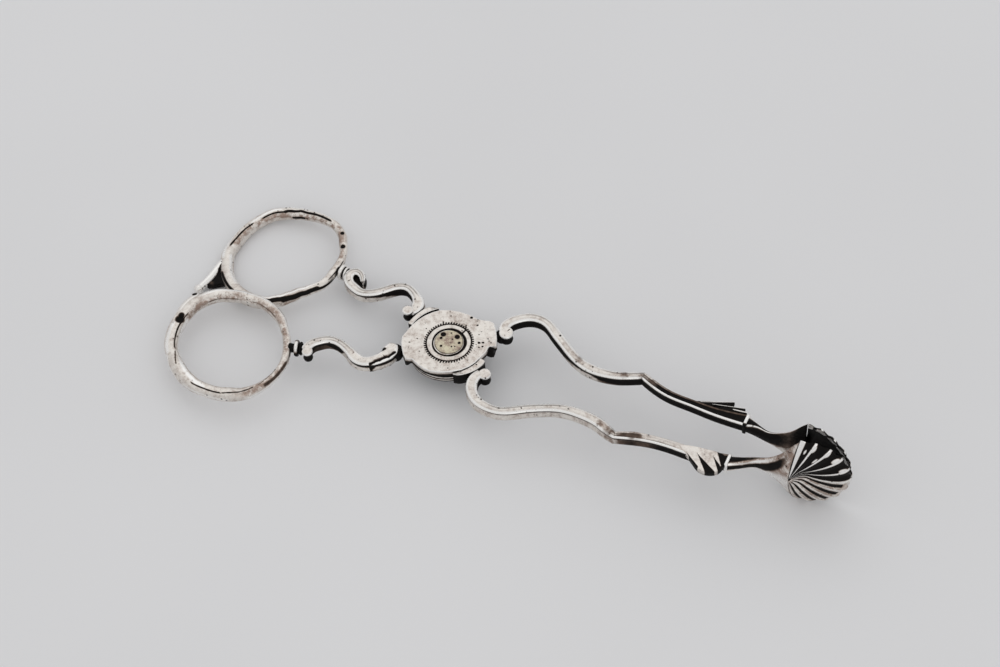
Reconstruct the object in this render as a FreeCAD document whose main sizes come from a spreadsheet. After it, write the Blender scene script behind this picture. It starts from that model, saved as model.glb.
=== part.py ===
import FreeCAD, Part
import Sketcher
import math
import os
from FreeCAD import Vector

# Sugar nippers: two cast silver arms on one riveted pivot, closed.
# +Z is the pivot axis and points out of the engraved top plate, +X runs to the shells.
# The origin is on the pivot axis, on the flat back face of the joint. Millimetres.

doc = FreeCAD.newDocument("sugar_nippers")

# ---------------------------------------------------------------- driving sizes
SIZES = [
    ("plate_thickness", 1.4, "one joint plate"),
    ("plate_radius", 6.8, "round part of a joint plate"),
    ("lap_clearance", 0.12, "running gap round a plate, to the other arm's shoulders"),
    ("face_clearance", 0.04, "gap between the two plates"),
    ("pin_radius", 1.6, "rivet through the joint"),
    ("pin_clearance", 0.05, "radial gap of the under plate on the rivet"),
    ("rivet_head_radius", 2.4, "countersunk rear head of the rivet"),
    ("rivet_head_depth", 0.7, "depth of the countersunk head"),
    ("rosette_radius", 2.55, "disc over the rivet's front end"),
    ("rosette_height", 0.3, "how far the rosette stands above the plate"),
    ("rosette_offset_x", 0.5, "the engraver's circles sit a little off the pivot"),
    ("rosette_offset_y", -0.3, "the engraver's circles sit a little off the pivot"),
    ("rosette_dot_radius", 0.28, "punched dots of the rosette"),
    ("rosette_dot_circle", 1.6, "circle on which the dots lie"),
    ("inner_groove_radius", 2.95, "engraved circle round the rosette"),
    ("outer_groove_radius", 3.95, "milled circle round the rosette"),
    ("groove_width", 0.32, "width of the engraved circles"),
    ("top_front_flat_bearing", 31.0, "top plate's shank shoulder: direction of its flat"),
    ("top_front_flat_reach", 8.35, "pivot to that flat"),
    ("top_front_corner_reach", 8.65, "outer corners of that shoulder, from the pivot"),
    ("top_front_lug_start", 22.0, "bearing where that shoulder starts"),
    ("top_front_lug_sweep", 23.5, "angle that the shoulder takes up"),
    ("top_rear_flat_bearing", 208.0, "top plate's handle shoulder: direction of its flat"),
    ("top_rear_flat_reach", 7.85, "pivot to that flat"),
    ("top_rear_corner_reach", 8.2, "outer corners of that shoulder, from the pivot"),
    ("top_rear_lug_start", 199.0, "bearing where that shoulder starts"),
    ("top_rear_lug_sweep", 27.5, "angle that the shoulder takes up"),
    ("under_front_flat_bearing", 330.0, "under plate's shank shoulder: direction of its flat"),
    ("under_front_flat_reach", 8.15, "pivot to that flat"),
    ("under_front_corner_reach", 8.25, "outer corners of that shoulder, from the pivot"),
    ("under_front_lug_start", 305.0, "bearing where that shoulder starts"),
    ("under_front_lug_sweep", 41.0, "angle that the shoulder takes up"),
    ("under_rear_flat_bearing", 161.0, "under plate's handle shoulder: direction of its flat"),
    ("under_rear_flat_reach", 7.95, "pivot to that flat"),
    ("under_rear_corner_reach", 8.45, "outer corners of that shoulder, from the pivot"),
    ("under_rear_lug_start", 132.0, "bearing where that shoulder starts"),
    ("under_rear_lug_sweep", 40.5, "angle that the shoulder takes up"),
    ("bar_height", 2.6, "height of the scroll bars"),
    ("bar_bevel", 0.32, "bevel along the scroll bars' edges"),
    ("groove_drop", 0.55, "how far the soldered feet lie below the bars' top"),
    ("foot_radius", 1.5, "soldered foot between a scroll and its shoulder"),
    ("shank_height", 2.4, "height of the lower shanks"),
    ("shank_bevel", 0.55, "bevel of the lower shanks"),
    ("leaf_thickness", 0.8, "leaves on the outer side of the lower shanks"),
    ("knuckle_x", 34.0, "knuckle between the scrolled and the straight shank"),
    ("band_x", 53.1, "plain band at the end of the straight shank"),
    ("band_thickness", 0.6, "length of the band along the shank"),
    ("band_width", 3.2, "width of the band"),
    ("band_height", 3.0, "height of the band"),
    ("neck_width", 1.4, "narrowest width of the neck"),
    ("shell_heel_x", 63.9, "where the shell's ribs start"),
    ("shell_corner_x", 64.7, "upper and lower corner of the shell's rim"),
    ("shell_tip_x", 73.3, "tip of the shell's rim"),
    ("shell_height", 17.2, "shell, across the fan"),
    ("shell_spread", 98.0, "bearing of the fan's first and last ridge"),
    ("shell_lift", 0.9, "middle of the shells above the middle of the joint"),
    ("shell_heel_depth", 4.45, "depth of the heel from the meeting plane"),
    ("shell_dome", 2.3, "depth of the bowl above its own rim"),
    ("heel_seam", 0.15, "seam between a shell's ribs and the flare that clasps it"),
    ("rim_corner_gap", 1.84, "rim's corners to the meeting plane, shut"),
    ("shell_wall", 0.6, "wall of a shell"),
    ("shell_rib_height", 0.4, "height of the ribs at the rim"),
    ("waist_depth", 2.75, "waist of the neck, from the meeting plane"),
    ("jaw_plane_y", -0.18, "plane in which the two tips meet"),
    ("jaw_gap", 0.4, "gap between the tips, shut"),
    ("top_ring_long", 10.65, "longer half width of the top arm's ring, to its wire's middle"),
    ("top_ring_short", 9.8, "shorter half width of that ring"),
    ("top_ring_tilt", -46.0, "bearing of its longer axis"),
    ("under_ring_long", 10.7, "longer half width of the under arm's ring"),
    ("under_ring_short", 9.45, "shorter half width of that ring"),
    ("under_ring_tilt", 57.0, "bearing of its longer axis"),
    ("ring_wire_rear", 1.14, "radius of the rings' wire at the back"),
    ("ring_wire_front", 0.8, "radius of the rings' wire at the collar"),
    ("ring_meeting_y", -3.29, "line where the two rings come together"),
    ("ring_lap", 0.42, "how far the rings pass over each other in plan"),
    ("handle_set", 3.4, "degrees by which the under arm's handle sits lower"),
    ("handle_set_x", -7.0, "where that set starts"),
    ("collar_neck_radius", 0.85, "collar between its bands"),
    ("collar_band_radius", 1.5, "larger band of the collar"),
    ("collar_bead_radius", 1.22, "smaller band of the collar"),
    ("collar_band_width", 0.7, "width of the larger band"),
    ("collar_bead_width", 0.45, "width of the smaller band"),
    ("collar_groove_width", 0.22, "gap between the bands"),
    ("top_collar_bearing", 17.0, "direction of the top arm's collar"),
    ("under_collar_bearing", -3.0, "direction of the under arm's collar"),
    ("stop_base_radius", 0.68, "stop where it leaves the ring"),
    ("stop_tip_radius", 0.55, "stop below its knob"),
    ("stop_knob_radius", 0.72, "knob at the end of a stop"),
]

sheet = doc.addObject("Spreadsheet::Sheet", "sizes")
for row, (alias, value, meaning) in enumerate(SIZES, start=1):
    sheet.set("A%d" % row, alias)
    sheet.set("B%d" % row, str(value))
    sheet.setAlias("B%d" % row, alias)
    sheet.set("C%d" % row, meaning)
doc.recompute()


def size(alias):
    """A driving size, read from the sheet."""
    return float(sheet.get(alias))


MID_Z = size("plate_thickness")
TOP_Z = 2 * size("plate_thickness")
TOP_SIDE = 1.0
UNDER_SIDE = -1.0

# ------------------------------------------------------------ hand-drawn curves
# Centre lines in plan, from the pivot outwards, each point as x, y and the bar's width.
TOP_HANDLE = [
    (-8.7, -4.0, 1.5), (-8.6, -5.0, 2.3), (-8.7, -6.1, 2.2), (-9.4, -7.5, 1.9),
    (-10.5, -8.6, 1.9), (-11.8, -9.2, 2.0), (-13.2, -9.0, 2.1), (-14.7, -8.2, 1.8),
    (-16.2, -7.5, 1.65), (-17.7, -7.1, 1.6), (-19.2, -7.25, 1.65), (-20.6, -8.1, 1.75),
    (-21.7, -9.3, 1.8), (-22.0, -10.5, 1.9),
]
TOP_SHANK = [
    (8.2, 5.8, 2.1), (8.0, 6.7, 2.0), (8.4, 7.9, 1.9), (9.4, 9.0, 1.85), (10.9, 10.0, 1.8),
    (12.7, 10.4, 1.75), (14.8, 9.9, 1.75), (16.7, 8.6, 1.85), (18.5, 7.3, 1.8),
    (20.5, 5.9, 1.8), (22.6, 4.7, 1.8), (25.0, 4.0, 1.9), (27.6, 3.95, 1.8),
    (30.1, 4.4, 1.7), (32.2, 5.2, 1.6),
]
UNDER_HANDLE = [
    (-8.3, 4.6, 1.9), (-8.35, 5.8, 1.85), (-9.1, 6.9, 1.7), (-10.1, 7.7, 1.6),
    (-11.4, 8.25, 1.55), (-12.95, 8.0, 1.6), (-14.8, 6.6, 1.65), (-16.3, 5.4, 1.65),
    (-17.65, 4.75, 1.6), (-18.95, 4.6, 1.65), (-20.1, 5.0, 1.8), (-21.3, 5.6, 1.8),
    (-22.2, 6.6, 1.75), (-22.4, 7.7, 1.6), (-21.7, 8.4, 1.3), (-20.8, 8.2, 1.1),
    (-20.0, 7.45, 0.9), (-19.2, 6.6, 0.6),
]
UNDER_SHANK = [
    (8.0, -4.0, 1.8), (7.5, -5.2, 2.0), (7.6, -6.6, 2.1), (8.4, -8.1, 2.0),
    (9.8, -9.3, 1.9), (12.0, -9.9, 1.8), (14.2, -9.8, 1.7), (16.4, -8.8, 1.75),
    (18.5, -7.6, 1.7), (20.6, -6.6, 1.65), (22.9, -5.7, 1.7), (25.4, -5.25, 1.85),
    (27.9, -5.3, 1.9), (30.4, -5.7, 1.95), (32.4, -6.5, 1.9),
]
KNUCKLE_WIDTH = 1.5
TOP_KNUCKLE_Y = 5.95
UNDER_KNUCKLE_Y = -7.1
# Straight shanks, between the knuckle and the band, then the middle of the band.
TOP_LOWER = [(36.6, 4.9, 1.6), (39.5, 4.1, 1.6), (43.5, 3.8, 1.6), (47.5, 3.6, 1.8)]
UNDER_LOWER = [(36.6, -6.2, 1.8), (39.5, -5.6, 1.7), (43.5, -5.3, 1.7), (47.5, -5.3, 1.9)]
TOP_BAND_Y = 3.9
UNDER_BAND_Y = -4.7
SHANK_END_WIDTH = 2.4
# Round eyes of the scrolls in plan: x, y, radius.
TOP_SHANK_EYE = (8.75, 5.45, 1.25)
UNDER_SHANK_EYE = (8.85, -3.95, 0.95)
TOP_HANDLE_EYE = (-21.5, -11.0, 0.95)
UNDER_HANDLE_EYE = (-9.3, 3.9, 0.95)
# Soldered feet in plan, between each scroll and the shoulder that carries it.
TOP_HANDLE_FOOT = (-7.6, -4.7)
TOP_SHANK_FOOT = (7.6, 5.4)
UNDER_HANDLE_FOOT = (-7.7, 4.6)
UNDER_SHANK_FOOT = (7.2, -4.6)
# Where each collar leaves the wire of its ring, in plan.
TOP_COLLAR_ROOT = (-25.57, -10.95)
UNDER_COLLAR_ROOT = (-25.6, 8.2)
COLLAR_OVERLAP = 0.5
TOP_COLLAR_LENGTH = 2.75
UNDER_COLLAR_LENGTH = 2.35


# --------------------------------------------------------------- shared helpers
def spline(points):
    """A smooth curve through plan points, in the plane z = 0."""
    curve = Part.BSplineCurve()
    curve.interpolate([Vector(p[0], p[1], 0) for p in points])
    return curve


def bar_section(centre, direction, width, height, bevel):
    """An eight-cornered bar section, square to a direction in plan, edges bevelled."""
    side = Vector(-direction.y, direction.x, 0)
    half = width / 2.0
    cut = min(bevel, 0.45 * half)
    lift = height / 2.0
    corners = [
        (half - cut, lift), (half, lift - cut), (half, cut - lift), (half - cut, -lift),
        (cut - half, -lift), (-half, cut - lift), (-half, lift - cut), (cut - half, lift),
    ]
    points = [centre + side * across + Vector(0, 0, up) for across, up in corners]
    return Part.makePolygon(points + points[:1])


def bar(points, height, bevel, first_square=False, last_square=False):
    """A bar lofted along a centre line; a square end lies in a plane of constant x."""
    curve = spline(points)
    sections = []
    last = len(points) - 1
    for index, (x, y, width) in enumerate(points):
        direction = curve.tangent(curve.parameter(Vector(x, y, 0)))[0]
        if (index == 0 and first_square) or (index == last and last_square):
            direction = Vector(1, 0, 0)
        centre = Vector(x, y, MID_Z)
        sections.append(bar_section(centre, direction, width, height, bevel))
    return Part.makeLoft(sections, True, False)


def eye(plan, height, bevel):
    """The round end of a scroll: an upright bevelled disc."""
    x, y, radius = plan
    disc = Part.makeCylinder(radius, height, Vector(x, y, MID_Z - height / 2.0))
    return disc.makeChamfer(bevel, disc.Edges[:1] + disc.Edges[2:])


def foot(plan):
    """The soldered foot under the dark groove between a scroll and its shoulder."""
    x, y = plan
    height = size("bar_height") - size("groove_drop")
    bottom = MID_Z - size("bar_height") / 2.0
    return Part.makeCylinder(size("foot_radius"), height, Vector(x, y, bottom))


def shoulder_space(name):
    """All the room on the pivot's side of a shoulder's flat, as a block."""
    flat = size(name + "_flat_reach")
    reach = 4 * size("plate_radius")
    block = Part.makeBox(reach, 2 * reach, 4 * TOP_Z)
    block.translate(Vector(flat - reach, -reach, -TOP_Z))
    block.rotate(Vector(0, 0, 0), Vector(0, 0, 1), size(name + "_flat_bearing"))
    return block


def lowered(shape):
    """The under arm's handle, turned down by its set about a line beside the joint."""
    turned = shape.copy()
    start = Vector(size("handle_set_x"), 0, MID_Z)
    turned.rotate(start, Vector(0, 1, 0), -size("handle_set"))
    return turned


def add_shape(label, shape):
    """A sub-part whose shape is worked out here, under its own label."""
    item = doc.addObject("Part::Feature", label)
    item.Shape = shape
    item.Label = label
    return item


def bind(item, **expressions):
    """Tie an object's properties to the sheet; a double underscore stands for a dot."""
    for name, expression in expressions.items():
        item.setExpression(name.replace("__", "."), expression)


# ------------------------------------------------------------------ joint plates
def cylinder(name, radius, height, base):
    """An upright cylinder on the pivot axis, tied to the sheet."""
    item = doc.addObject("Part::Cylinder", name)
    bind(item, Radius=radius, Height=height, Placement__Base__z=base)
    return item


def shoulder(name, inner_base):
    """One shoulder of a plate: a sector trimmed by a flat, hollow beside the other plate."""
    sector = cylinder(name + "_sector", "sizes.%s_corner_reach" % name, "2 * sizes.plate_thickness", "0")
    bind(sector, Angle="sizes.%s_lug_sweep" % name)
    bind(sector, Placement__Rotation__Angle="sizes.%s_lug_start" % name)
    sector.Placement.Rotation.Axis = Vector(0, 0, 1)
    flat = doc.addObject("Part::Box", name + "_flat")
    bearing = "sizes.%s_flat_bearing * 1 deg" % name
    bind(
        flat,
        Length="sizes.%s_flat_reach" % name,
        Width="2 * sizes.%s_corner_reach" % name,
        Height="2 * sizes.plate_thickness",
        Placement__Base__x="sizes.%s_corner_reach * sin(%s)" % (name, bearing),
        Placement__Base__y="-sizes.%s_corner_reach * cos(%s)" % (name, bearing),
        Placement__Rotation__Angle="sizes.%s_flat_bearing" % name,
    )
    flat.Placement.Rotation.Axis = Vector(0, 0, 1)
    trimmed = doc.addObject("Part::MultiCommon", name + "_trimmed")
    trimmed.Shapes = [sector, flat]
    gap = "sizes.plate_radius + sizes.lap_clearance"
    height = "sizes.plate_thickness + sizes.face_clearance / 2"
    core = cylinder(name + "_core", gap, height, inner_base)
    lug = doc.addObject("Part::Cut", name + "_lug")
    lug.Base = trimmed
    lug.Tool = core
    return lug


def joint_plates():
    """The two lapped plates, each with its two full-height shoulders and its bore."""
    half_gap = "sizes.face_clearance / 2"
    layer = "sizes.plate_thickness - " + half_gap
    upper_base = "sizes.plate_thickness + " + half_gap
    lower_core = "sizes.plate_thickness - " + half_gap
    top_disc = cylinder("top_disc", "sizes.plate_radius", layer, upper_base)
    under_disc = cylinder("under_disc", "sizes.plate_radius", layer, "0")

    top_bore = cylinder("top_bore", "sizes.pin_radius", "2 * sizes.plate_thickness", "0")
    grooves = []
    for name in ("inner", "outer"):
        groove = doc.addObject("Part::Torus", name + "_groove")
        bind(
            groove,
            Radius1="sizes.%s_groove_radius" % name,
            Radius2="sizes.groove_width / 2",
            Placement__Base__x="sizes.rosette_offset_x",
            Placement__Base__y="sizes.rosette_offset_y",
            Placement__Base__z="2 * sizes.plate_thickness",
        )
        grooves.append(groove)
    top_body = doc.addObject("Part::MultiFuse", "top_plate_body")
    top_body.Shapes = [top_disc, shoulder("top_front", "0"), shoulder("top_rear", "0")]
    top_cuts = doc.addObject("Part::MultiFuse", "top_plate_cuts")
    top_cuts.Shapes = [top_bore] + grooves
    top_plate = doc.addObject("Part::Cut", "top_joint_plate")
    top_plate.Base = top_body
    top_plate.Tool = top_cuts

    under_body = doc.addObject("Part::MultiFuse", "under_plate_body")
    under_body.Shapes = [
        under_disc,
        shoulder("under_front", lower_core),
        shoulder("under_rear", lower_core),
    ]
    bore = "sizes.pin_radius + sizes.pin_clearance"
    under_bore = cylinder("under_bore", bore, "sizes.plate_thickness", "0")
    sink = doc.addObject("Part::Cone", "under_countersink")
    bind(
        sink,
        Radius1="sizes.rivet_head_radius + sizes.pin_clearance",
        Radius2=bore,
        Height="sizes.rivet_head_depth + sizes.pin_clearance",
    )
    under_cuts = doc.addObject("Part::MultiFuse", "under_plate_cuts")
    under_cuts.Shapes = [under_bore, sink]
    under_plate = doc.addObject("Part::Cut", "under_joint_plate")
    under_plate.Base = under_body
    under_plate.Tool = under_cuts
    return [top_plate, under_plate]


def pivot_pin():
    """The rivet: a plain shank with a countersunk rear head, flush with the back face."""
    shank = cylinder("pin_shank", "sizes.pin_radius", "2 * sizes.plate_thickness", "0")
    head = doc.addObject("Part::Cone", "pin_head")
    bind(
        head,
        Radius1="sizes.rivet_head_radius",
        Radius2="sizes.pin_radius",
        Height="sizes.rivet_head_depth",
    )
    pin = doc.addObject("Part::MultiFuse", "pivot_pin")
    pin.Shapes = [shank, head]
    return pin


def plane_of(body, role):
    """One of a body's own origin planes."""
    planes = [item for item in body.Origin.OriginFeatures if item.Role == role]
    return planes[0]


def pivot_rosette():
    """The disc over the rivet's front end, with a ring of punched dots round one dot."""
    body = doc.addObject("PartDesign::Body", "pivot_rosette")
    outline = body.newObject("Sketcher::SketchObject", "rosette_outline")
    outline.AttachmentSupport = [(plane_of(body, "XY_Plane"), "")]
    outline.MapMode = "FlatFace"
    up = Vector(0, 0, 1)
    outline.addGeometry(Part.Circle(Vector(0, 0, 0), up, size("rosette_radius")))
    outline.addConstraint(Sketcher.Constraint("Coincident", 0, 3, -1, 1))
    outline.addConstraint(Sketcher.Constraint("Radius", 0, size("rosette_radius")))
    outline.setExpression("Constraints[1]", "sizes.rosette_radius")
    disc = body.newObject("PartDesign::Pad", "rosette_disc")
    disc.Profile = outline
    bind(disc, Length="sizes.rosette_height")
    doc.recompute()
    rim = [
        "Edge%d" % (index + 1)
        for index, edge in enumerate(disc.Shape.Edges)
        if edge.BoundBox.ZMin > size("rosette_height") / 2 and edge.Closed
    ]
    bevel = body.newObject("PartDesign::Chamfer", "rosette_bevel")
    bevel.Base = (disc, rim)
    bind(bevel, Size="sizes.rosette_height / 2")
    dot = body.newObject("Sketcher::SketchObject", "rosette_dot")
    dot.AttachmentSupport = [(plane_of(body, "XY_Plane"), "")]
    dot.MapMode = "FlatFace"
    bind(dot, AttachmentOffset__Base__z="sizes.rosette_height")
    place = Vector(size("rosette_dot_circle"), 0, 0)
    dot.addGeometry(Part.Circle(place, up, size("rosette_dot_radius")))
    dot.addConstraint(Sketcher.Constraint("PointOnObject", 0, 3, -1))
    dot.addConstraint(Sketcher.Constraint("DistanceX", -1, 1, 0, 3, place.x))
    dot.addConstraint(Sketcher.Constraint("Radius", 0, size("rosette_dot_radius")))
    dot.setExpression("Constraints[1]", "sizes.rosette_dot_circle")
    dot.setExpression("Constraints[2]", "sizes.rosette_dot_radius")
    punch = body.newObject("PartDesign::Pocket", "rosette_punch")
    punch.Profile = dot
    bind(punch, Length="sizes.rosette_height / 2")
    doc.recompute()
    turns = body.newObject("PartDesign::PolarPattern", "rosette_dots")
    turns.Originals = [punch]
    turns.Axis = (outline, ["N_Axis"])
    turns.Angle = 360
    turns.Occurrences = 8
    body.Tip = turns
    bind(
        body,
        Placement__Base__x="sizes.rosette_offset_x",
        Placement__Base__y="sizes.rosette_offset_y",
        Placement__Base__z="2 * sizes.plate_thickness",
    )
    return body


# --------------------------------------------------------------- scrolls, shanks
def scroll(points, eye_plan, foot_plan, lug, square_end=None):
    """A scrolled bar with its round eye and soldered foot, trimmed to its shoulder."""
    line = list(points)
    if square_end:
        line.append(square_end)
    height = size("bar_height")
    bevel = size("bar_bevel")
    rail = bar(line, height, bevel, last_square=bool(square_end))
    shape = rail.fuse([eye(eye_plan, height, bevel), foot(foot_plan)])
    return shape.cut(shoulder_space(lug))


# Leaves on the outer side of a lower shank: root x, tip x and tip from the shank's middle.
LEAVES = [(45.6, 50.4, 2.9), (49.4, 52.6, 2.4)]
LEAF_ROOT_OUT = 0.3
LEAF_BACK_OUT = 0.7
LEAF_UNDERCUT = 0.3


def lower_shank(points, knuckle_y, band_y, side):
    """The straight shank from knuckle to band, with two leaves on its outer side."""
    line = [(size("knuckle_x"), knuckle_y, KNUCKLE_WIDTH)] + list(points)
    line.append((size("band_x"), band_y, SHANK_END_WIDTH))
    rail = bar(line, size("shank_height"), size("shank_bevel"), True, True)
    leaves = []
    shank_y = points[-1][1]
    thickness = size("leaf_thickness")
    for root_x, tip_x, tip_out in LEAVES:
        root = Vector(root_x, shank_y + side * LEAF_ROOT_OUT, MID_Z - thickness / 2.0)
        tip = Vector(tip_x, shank_y + side * tip_out, root.z)
        back = Vector(tip_x - LEAF_UNDERCUT, shank_y + side * LEAF_BACK_OUT, root.z)
        face = Part.Face(Part.makePolygon([root, tip, back, root]))
        leaves.append(face.extrude(Vector(0, 0, thickness)))
    return rail.fuse(leaves)


FLARE_OVERLAP = 0.95

# The neck along its run: share of the run, outward bulge of the middle and inward curl of
# the two ends as shares of their full reach, width in waists, height in shell heights.
NECK_ROWS = [
    (0.18, None, None, 1.3, 0.150),
    (0.38, 0.0, 0.0, 1.0, 0.155),
    (0.55, 0.08, 0.16, 1.0, 0.262),
    (0.68, 0.26, 0.36, 0.95, 0.405),
    (0.79, 0.52, 0.56, 0.9, 0.590),
    (0.89, 0.78, 0.76, 0.82, 0.800),
    (1.0, 0.97, 0.92, 0.62, 0.985),
]


NECK_POINTS = 16
NECK_STEPS = 3


def neck_section(x, middle, inner, width, height, lift):
    """A bowed oval section of the neck in a plane of constant x."""
    side = math.copysign(1.0, middle)
    points = []
    for step in range(NECK_POINTS):
        angle = 2 * math.pi * step / NECK_POINTS
        up = height / 2.0 * math.sin(angle)
        bow = (inner - middle) * math.sin(angle) ** 2
        out = middle + bow + side * width / 2.0 * math.cos(angle)
        points.append(Vector(x, out, MID_Z + lift + up))
    curve = Part.BSplineCurve()
    curve.interpolate(points, True)
    return Part.Wire([curve.toShape()])


def between(rows, steps):
    """Rows of numbers with smooth steps between them (Catmull-Rom), ends kept."""
    padded = [rows[0]] + list(rows) + [rows[-1]]
    filled = []
    for index in range(len(rows) - 1):
        before, here, after, beyond = padded[index:index + 4]
        for step in range(steps):
            t = step / steps
            row = []
            for a, b, c, d in zip(before, here, after, beyond):
                curve = (2 * a - 5 * b + 4 * c - d) * t * t + (3 * b - a - 3 * c + d) * t ** 3
                row.append(b + 0.5 * ((c - a) * t + curve))
            filled.append(row)
    filled.append(list(rows[-1]))
    return filled


def shell_side(side):
    """The space past the shell's straight edge, from its heel to its rim's corners."""
    tall = 2 * size("shell_height")
    step_x = size("shell_corner_x") - size("shell_heel_x")
    step_y = size("shell_heel_depth") - size("rim_corner_gap")
    heel_y = size("jaw_plane_y") + side * size("shell_heel_depth")
    space = Part.makeBox(tall, 2 * tall, 2 * tall, Vector(0, -tall, -tall))
    space.rotate(Vector(0, 0, 0), Vector(0, 0, 1), side * math.degrees(math.atan2(step_x, step_y)))
    space.translate(Vector(size("shell_heel_x") - size("heel_seam"), heel_y, MID_Z))
    return space


def neck(band_y, side):
    """The neck: a plain band, a slim waist, then a flare that clasps the shell's heel."""
    jaw = size("jaw_plane_y")
    start = size("band_x") + size("band_thickness")
    run = size("shell_heel_x") + FLARE_OVERLAP - start
    waist_y = jaw + side * size("waist_depth")
    waist = size("neck_width")
    reach = size("shell_heel_depth") - size("waist_depth") - waist / 4.0
    edge = size("waist_depth") - size("rim_corner_gap")
    tall = size("shell_height")
    plan = [(start, band_y, band_y, 2.7, 2.7)]
    for share, bulge, curl, width, height in NECK_ROWS:
        x = start + share * run
        if bulge is None:
            middle = 0.5 * (band_y + waist_y)
            plan.append((x, middle, middle, width * waist, height * tall))
            continue
        middle = waist_y + side * bulge * reach
        inner = waist_y - side * curl * edge
        plan.append((x, middle, inner, width * waist, height * tall))
    lift = size("shell_lift")
    sections = []
    for row in between(plan, NECK_STEPS):
        sections.append(neck_section(*row, lift * (row[0] - start) / run))
    flare = Part.makeLoft(sections, True, True).cut(shell_side(side))
    width = size("band_width")
    height = size("band_height")
    corner = Vector(size("band_x"), band_y - width / 2.0, MID_Z - height / 2.0)
    band = Part.makeBox(size("band_thickness"), width, height, corner)
    band = band.makeFillet(0.6, [e for e in band.Edges if abs(e.tangentAt(0).x) > 0.9])
    return band.fuse(flare)


# ------------------------------------------------------------------------- shells
SHELL_FLUTES = 10
STEPS_PER_FLUTE = 6
SHELL_ROWS = 12
SHELL_CROWN = 0.3


def shell_point(bearing, along, inset, side):
    """A point of a shell: bearing over the fan, along from heel to rim, inset the wall."""
    heel_x = size("shell_heel_x")
    corner_x = size("shell_corner_x")
    tip_x = size("shell_tip_x")
    spread = size("shell_spread")
    fan = math.radians(bearing)
    reach = (tip_x - corner_x) / (1 - math.cos(math.radians(spread)))
    rim_x = tip_x - reach + (reach - inset) * math.cos(fan)
    rim_z = (size("shell_height") / 2.0 - inset) * math.sin(fan)
    x = heel_x + (rim_x - heel_x) * along
    z = MID_Z + size("shell_lift") + rim_z * along
    tip_gap = size("jaw_gap") / 2.0
    open_share = (tip_x - rim_x) / (tip_x - corner_x)
    rim_gap = tip_gap + (size("rim_corner_gap") - tip_gap) * open_share
    rise = size("shell_heel_depth") - rim_gap
    dome = size("shell_dome")
    if along < SHELL_CROWN:
        middle = rise + (dome - rise) * math.sin(math.pi / 2 * along / SHELL_CROWN)
    else:
        middle = dome * math.sqrt(max(0.0, 1 - ((along - SHELL_CROWN) / (1 - SHELL_CROWN)) ** 2))
    edge = rise * (1 - along) + 0.5 * math.sin(math.pi * along)
    blend = max(0.0, math.cos(math.pi / 2 * bearing / spread)) ** 0.71
    depth = edge + (middle - edge) * blend
    ridge = math.cos(math.pi * SHELL_FLUTES * (bearing / spread + 1) / 2) ** 2
    lift = size("shell_rib_height") * (ridge - 0.5) * along
    if inset > 0.0:
        depth = max(0.0, depth - inset * math.sqrt(max(0.0, 1 - along ** 6)))
        lift = 0.0
    jaw = size("jaw_plane_y")
    point = Vector(x, jaw + side * (rim_gap + depth), z)
    root = Vector(heel_x + 0.4 * (tip_x - heel_x), jaw, MID_Z + size("shell_lift"))
    outward = point - root
    outward.normalize()
    flat = Vector(outward.x, outward.y * (1 - along ** 8), outward.z)
    return point + flat * lift


def shell_surface(inset, side):
    """One side of a shell's wall as a smooth surface over the fan."""
    columns = SHELL_FLUTES * STEPS_PER_FLUTE
    rows = []
    for row in range(SHELL_ROWS + 1):
        along = 0.1 + 0.9 * row / SHELL_ROWS
        line = []
        for column in range(columns + 1):
            bearing = size("shell_spread") * (2.0 * column / columns - 1)
            line.append(shell_point(bearing, along, inset, side))
        rows.append(line)
    surface = Part.BSplineSurface()
    surface.interpolate(rows)
    return surface


def shell_bowl(side):
    """A fluted shell: ribbed outside, smooth inside, closed round the rim and the heel."""
    outer = shell_surface(0.0, side)
    inner = shell_surface(size("shell_wall"), side)
    faces = [outer.toShape(), inner.toShape()]
    u0, u1, v0, v1 = outer.bounds()
    for outer_edge, inner_edge in (
        (outer.uIso(u0), inner.uIso(u0)),
        (outer.uIso(u1), inner.uIso(u1)),
        (outer.vIso(v0), inner.vIso(v0)),
        (outer.vIso(v1), inner.vIso(v1)),
    ):
        faces.append(Part.makeRuledSurface(outer_edge.toShape(), inner_edge.toShape()))
    skin = Part.makeShell(faces)
    skin.sewShape(1e-4)
    solid = Part.makeSolid(skin)
    if solid.Volume < 0:
        solid.reverse()
    return solid


# -------------------------------------------------------------------------- rings
# The stops at the back of the rings: root, bend and knob, from the rings' centres.
TOP_STOP = (Vector(-9.6, -1.6, 0.0), Vector(-10.95, 3.2, 0.0), Vector(-10.35, 6.75, 0.0))
UNDER_STOP = (Vector(-9.2, -3.4, 0.0), Vector(-10.75, -8.7, 0.0), Vector(-12.0, -11.9, 0.0))


def oval_half(long_half, short_half, tilt):
    """Half the reach of a tilted oval along y."""
    turn = math.radians(tilt)
    return math.hypot(long_half * math.sin(turn), short_half * math.cos(turn))


def ring_centre(arm, root, side):
    """Centre of a ring: its inner side lies on the meeting line, its front on the collar."""
    long_half = size(arm + "_ring_long")
    short_half = size(arm + "_ring_short")
    tilt = size(arm + "_ring_tilt")
    wire = (size("ring_wire_rear") + size("ring_wire_front")) / 2.0
    reach = oval_half(long_half, short_half, tilt) + wire - size("ring_lap") / 2.0
    centre_y = size("ring_meeting_y") - side * reach
    turn = math.radians(tilt)
    a = (math.cos(turn) / long_half) ** 2 + (math.sin(turn) / short_half) ** 2
    b = math.cos(turn) * math.sin(turn) * (long_half ** -2 - short_half ** -2)
    c = (math.sin(turn) / long_half) ** 2 + (math.cos(turn) / short_half) ** 2
    dy = root[1] - centre_y
    dx = (-b * dy + math.sqrt((b * dy) ** 2 - a * (c * dy * dy - 1))) / a
    return Vector(root[0] - dx, centre_y, MID_Z)


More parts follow.
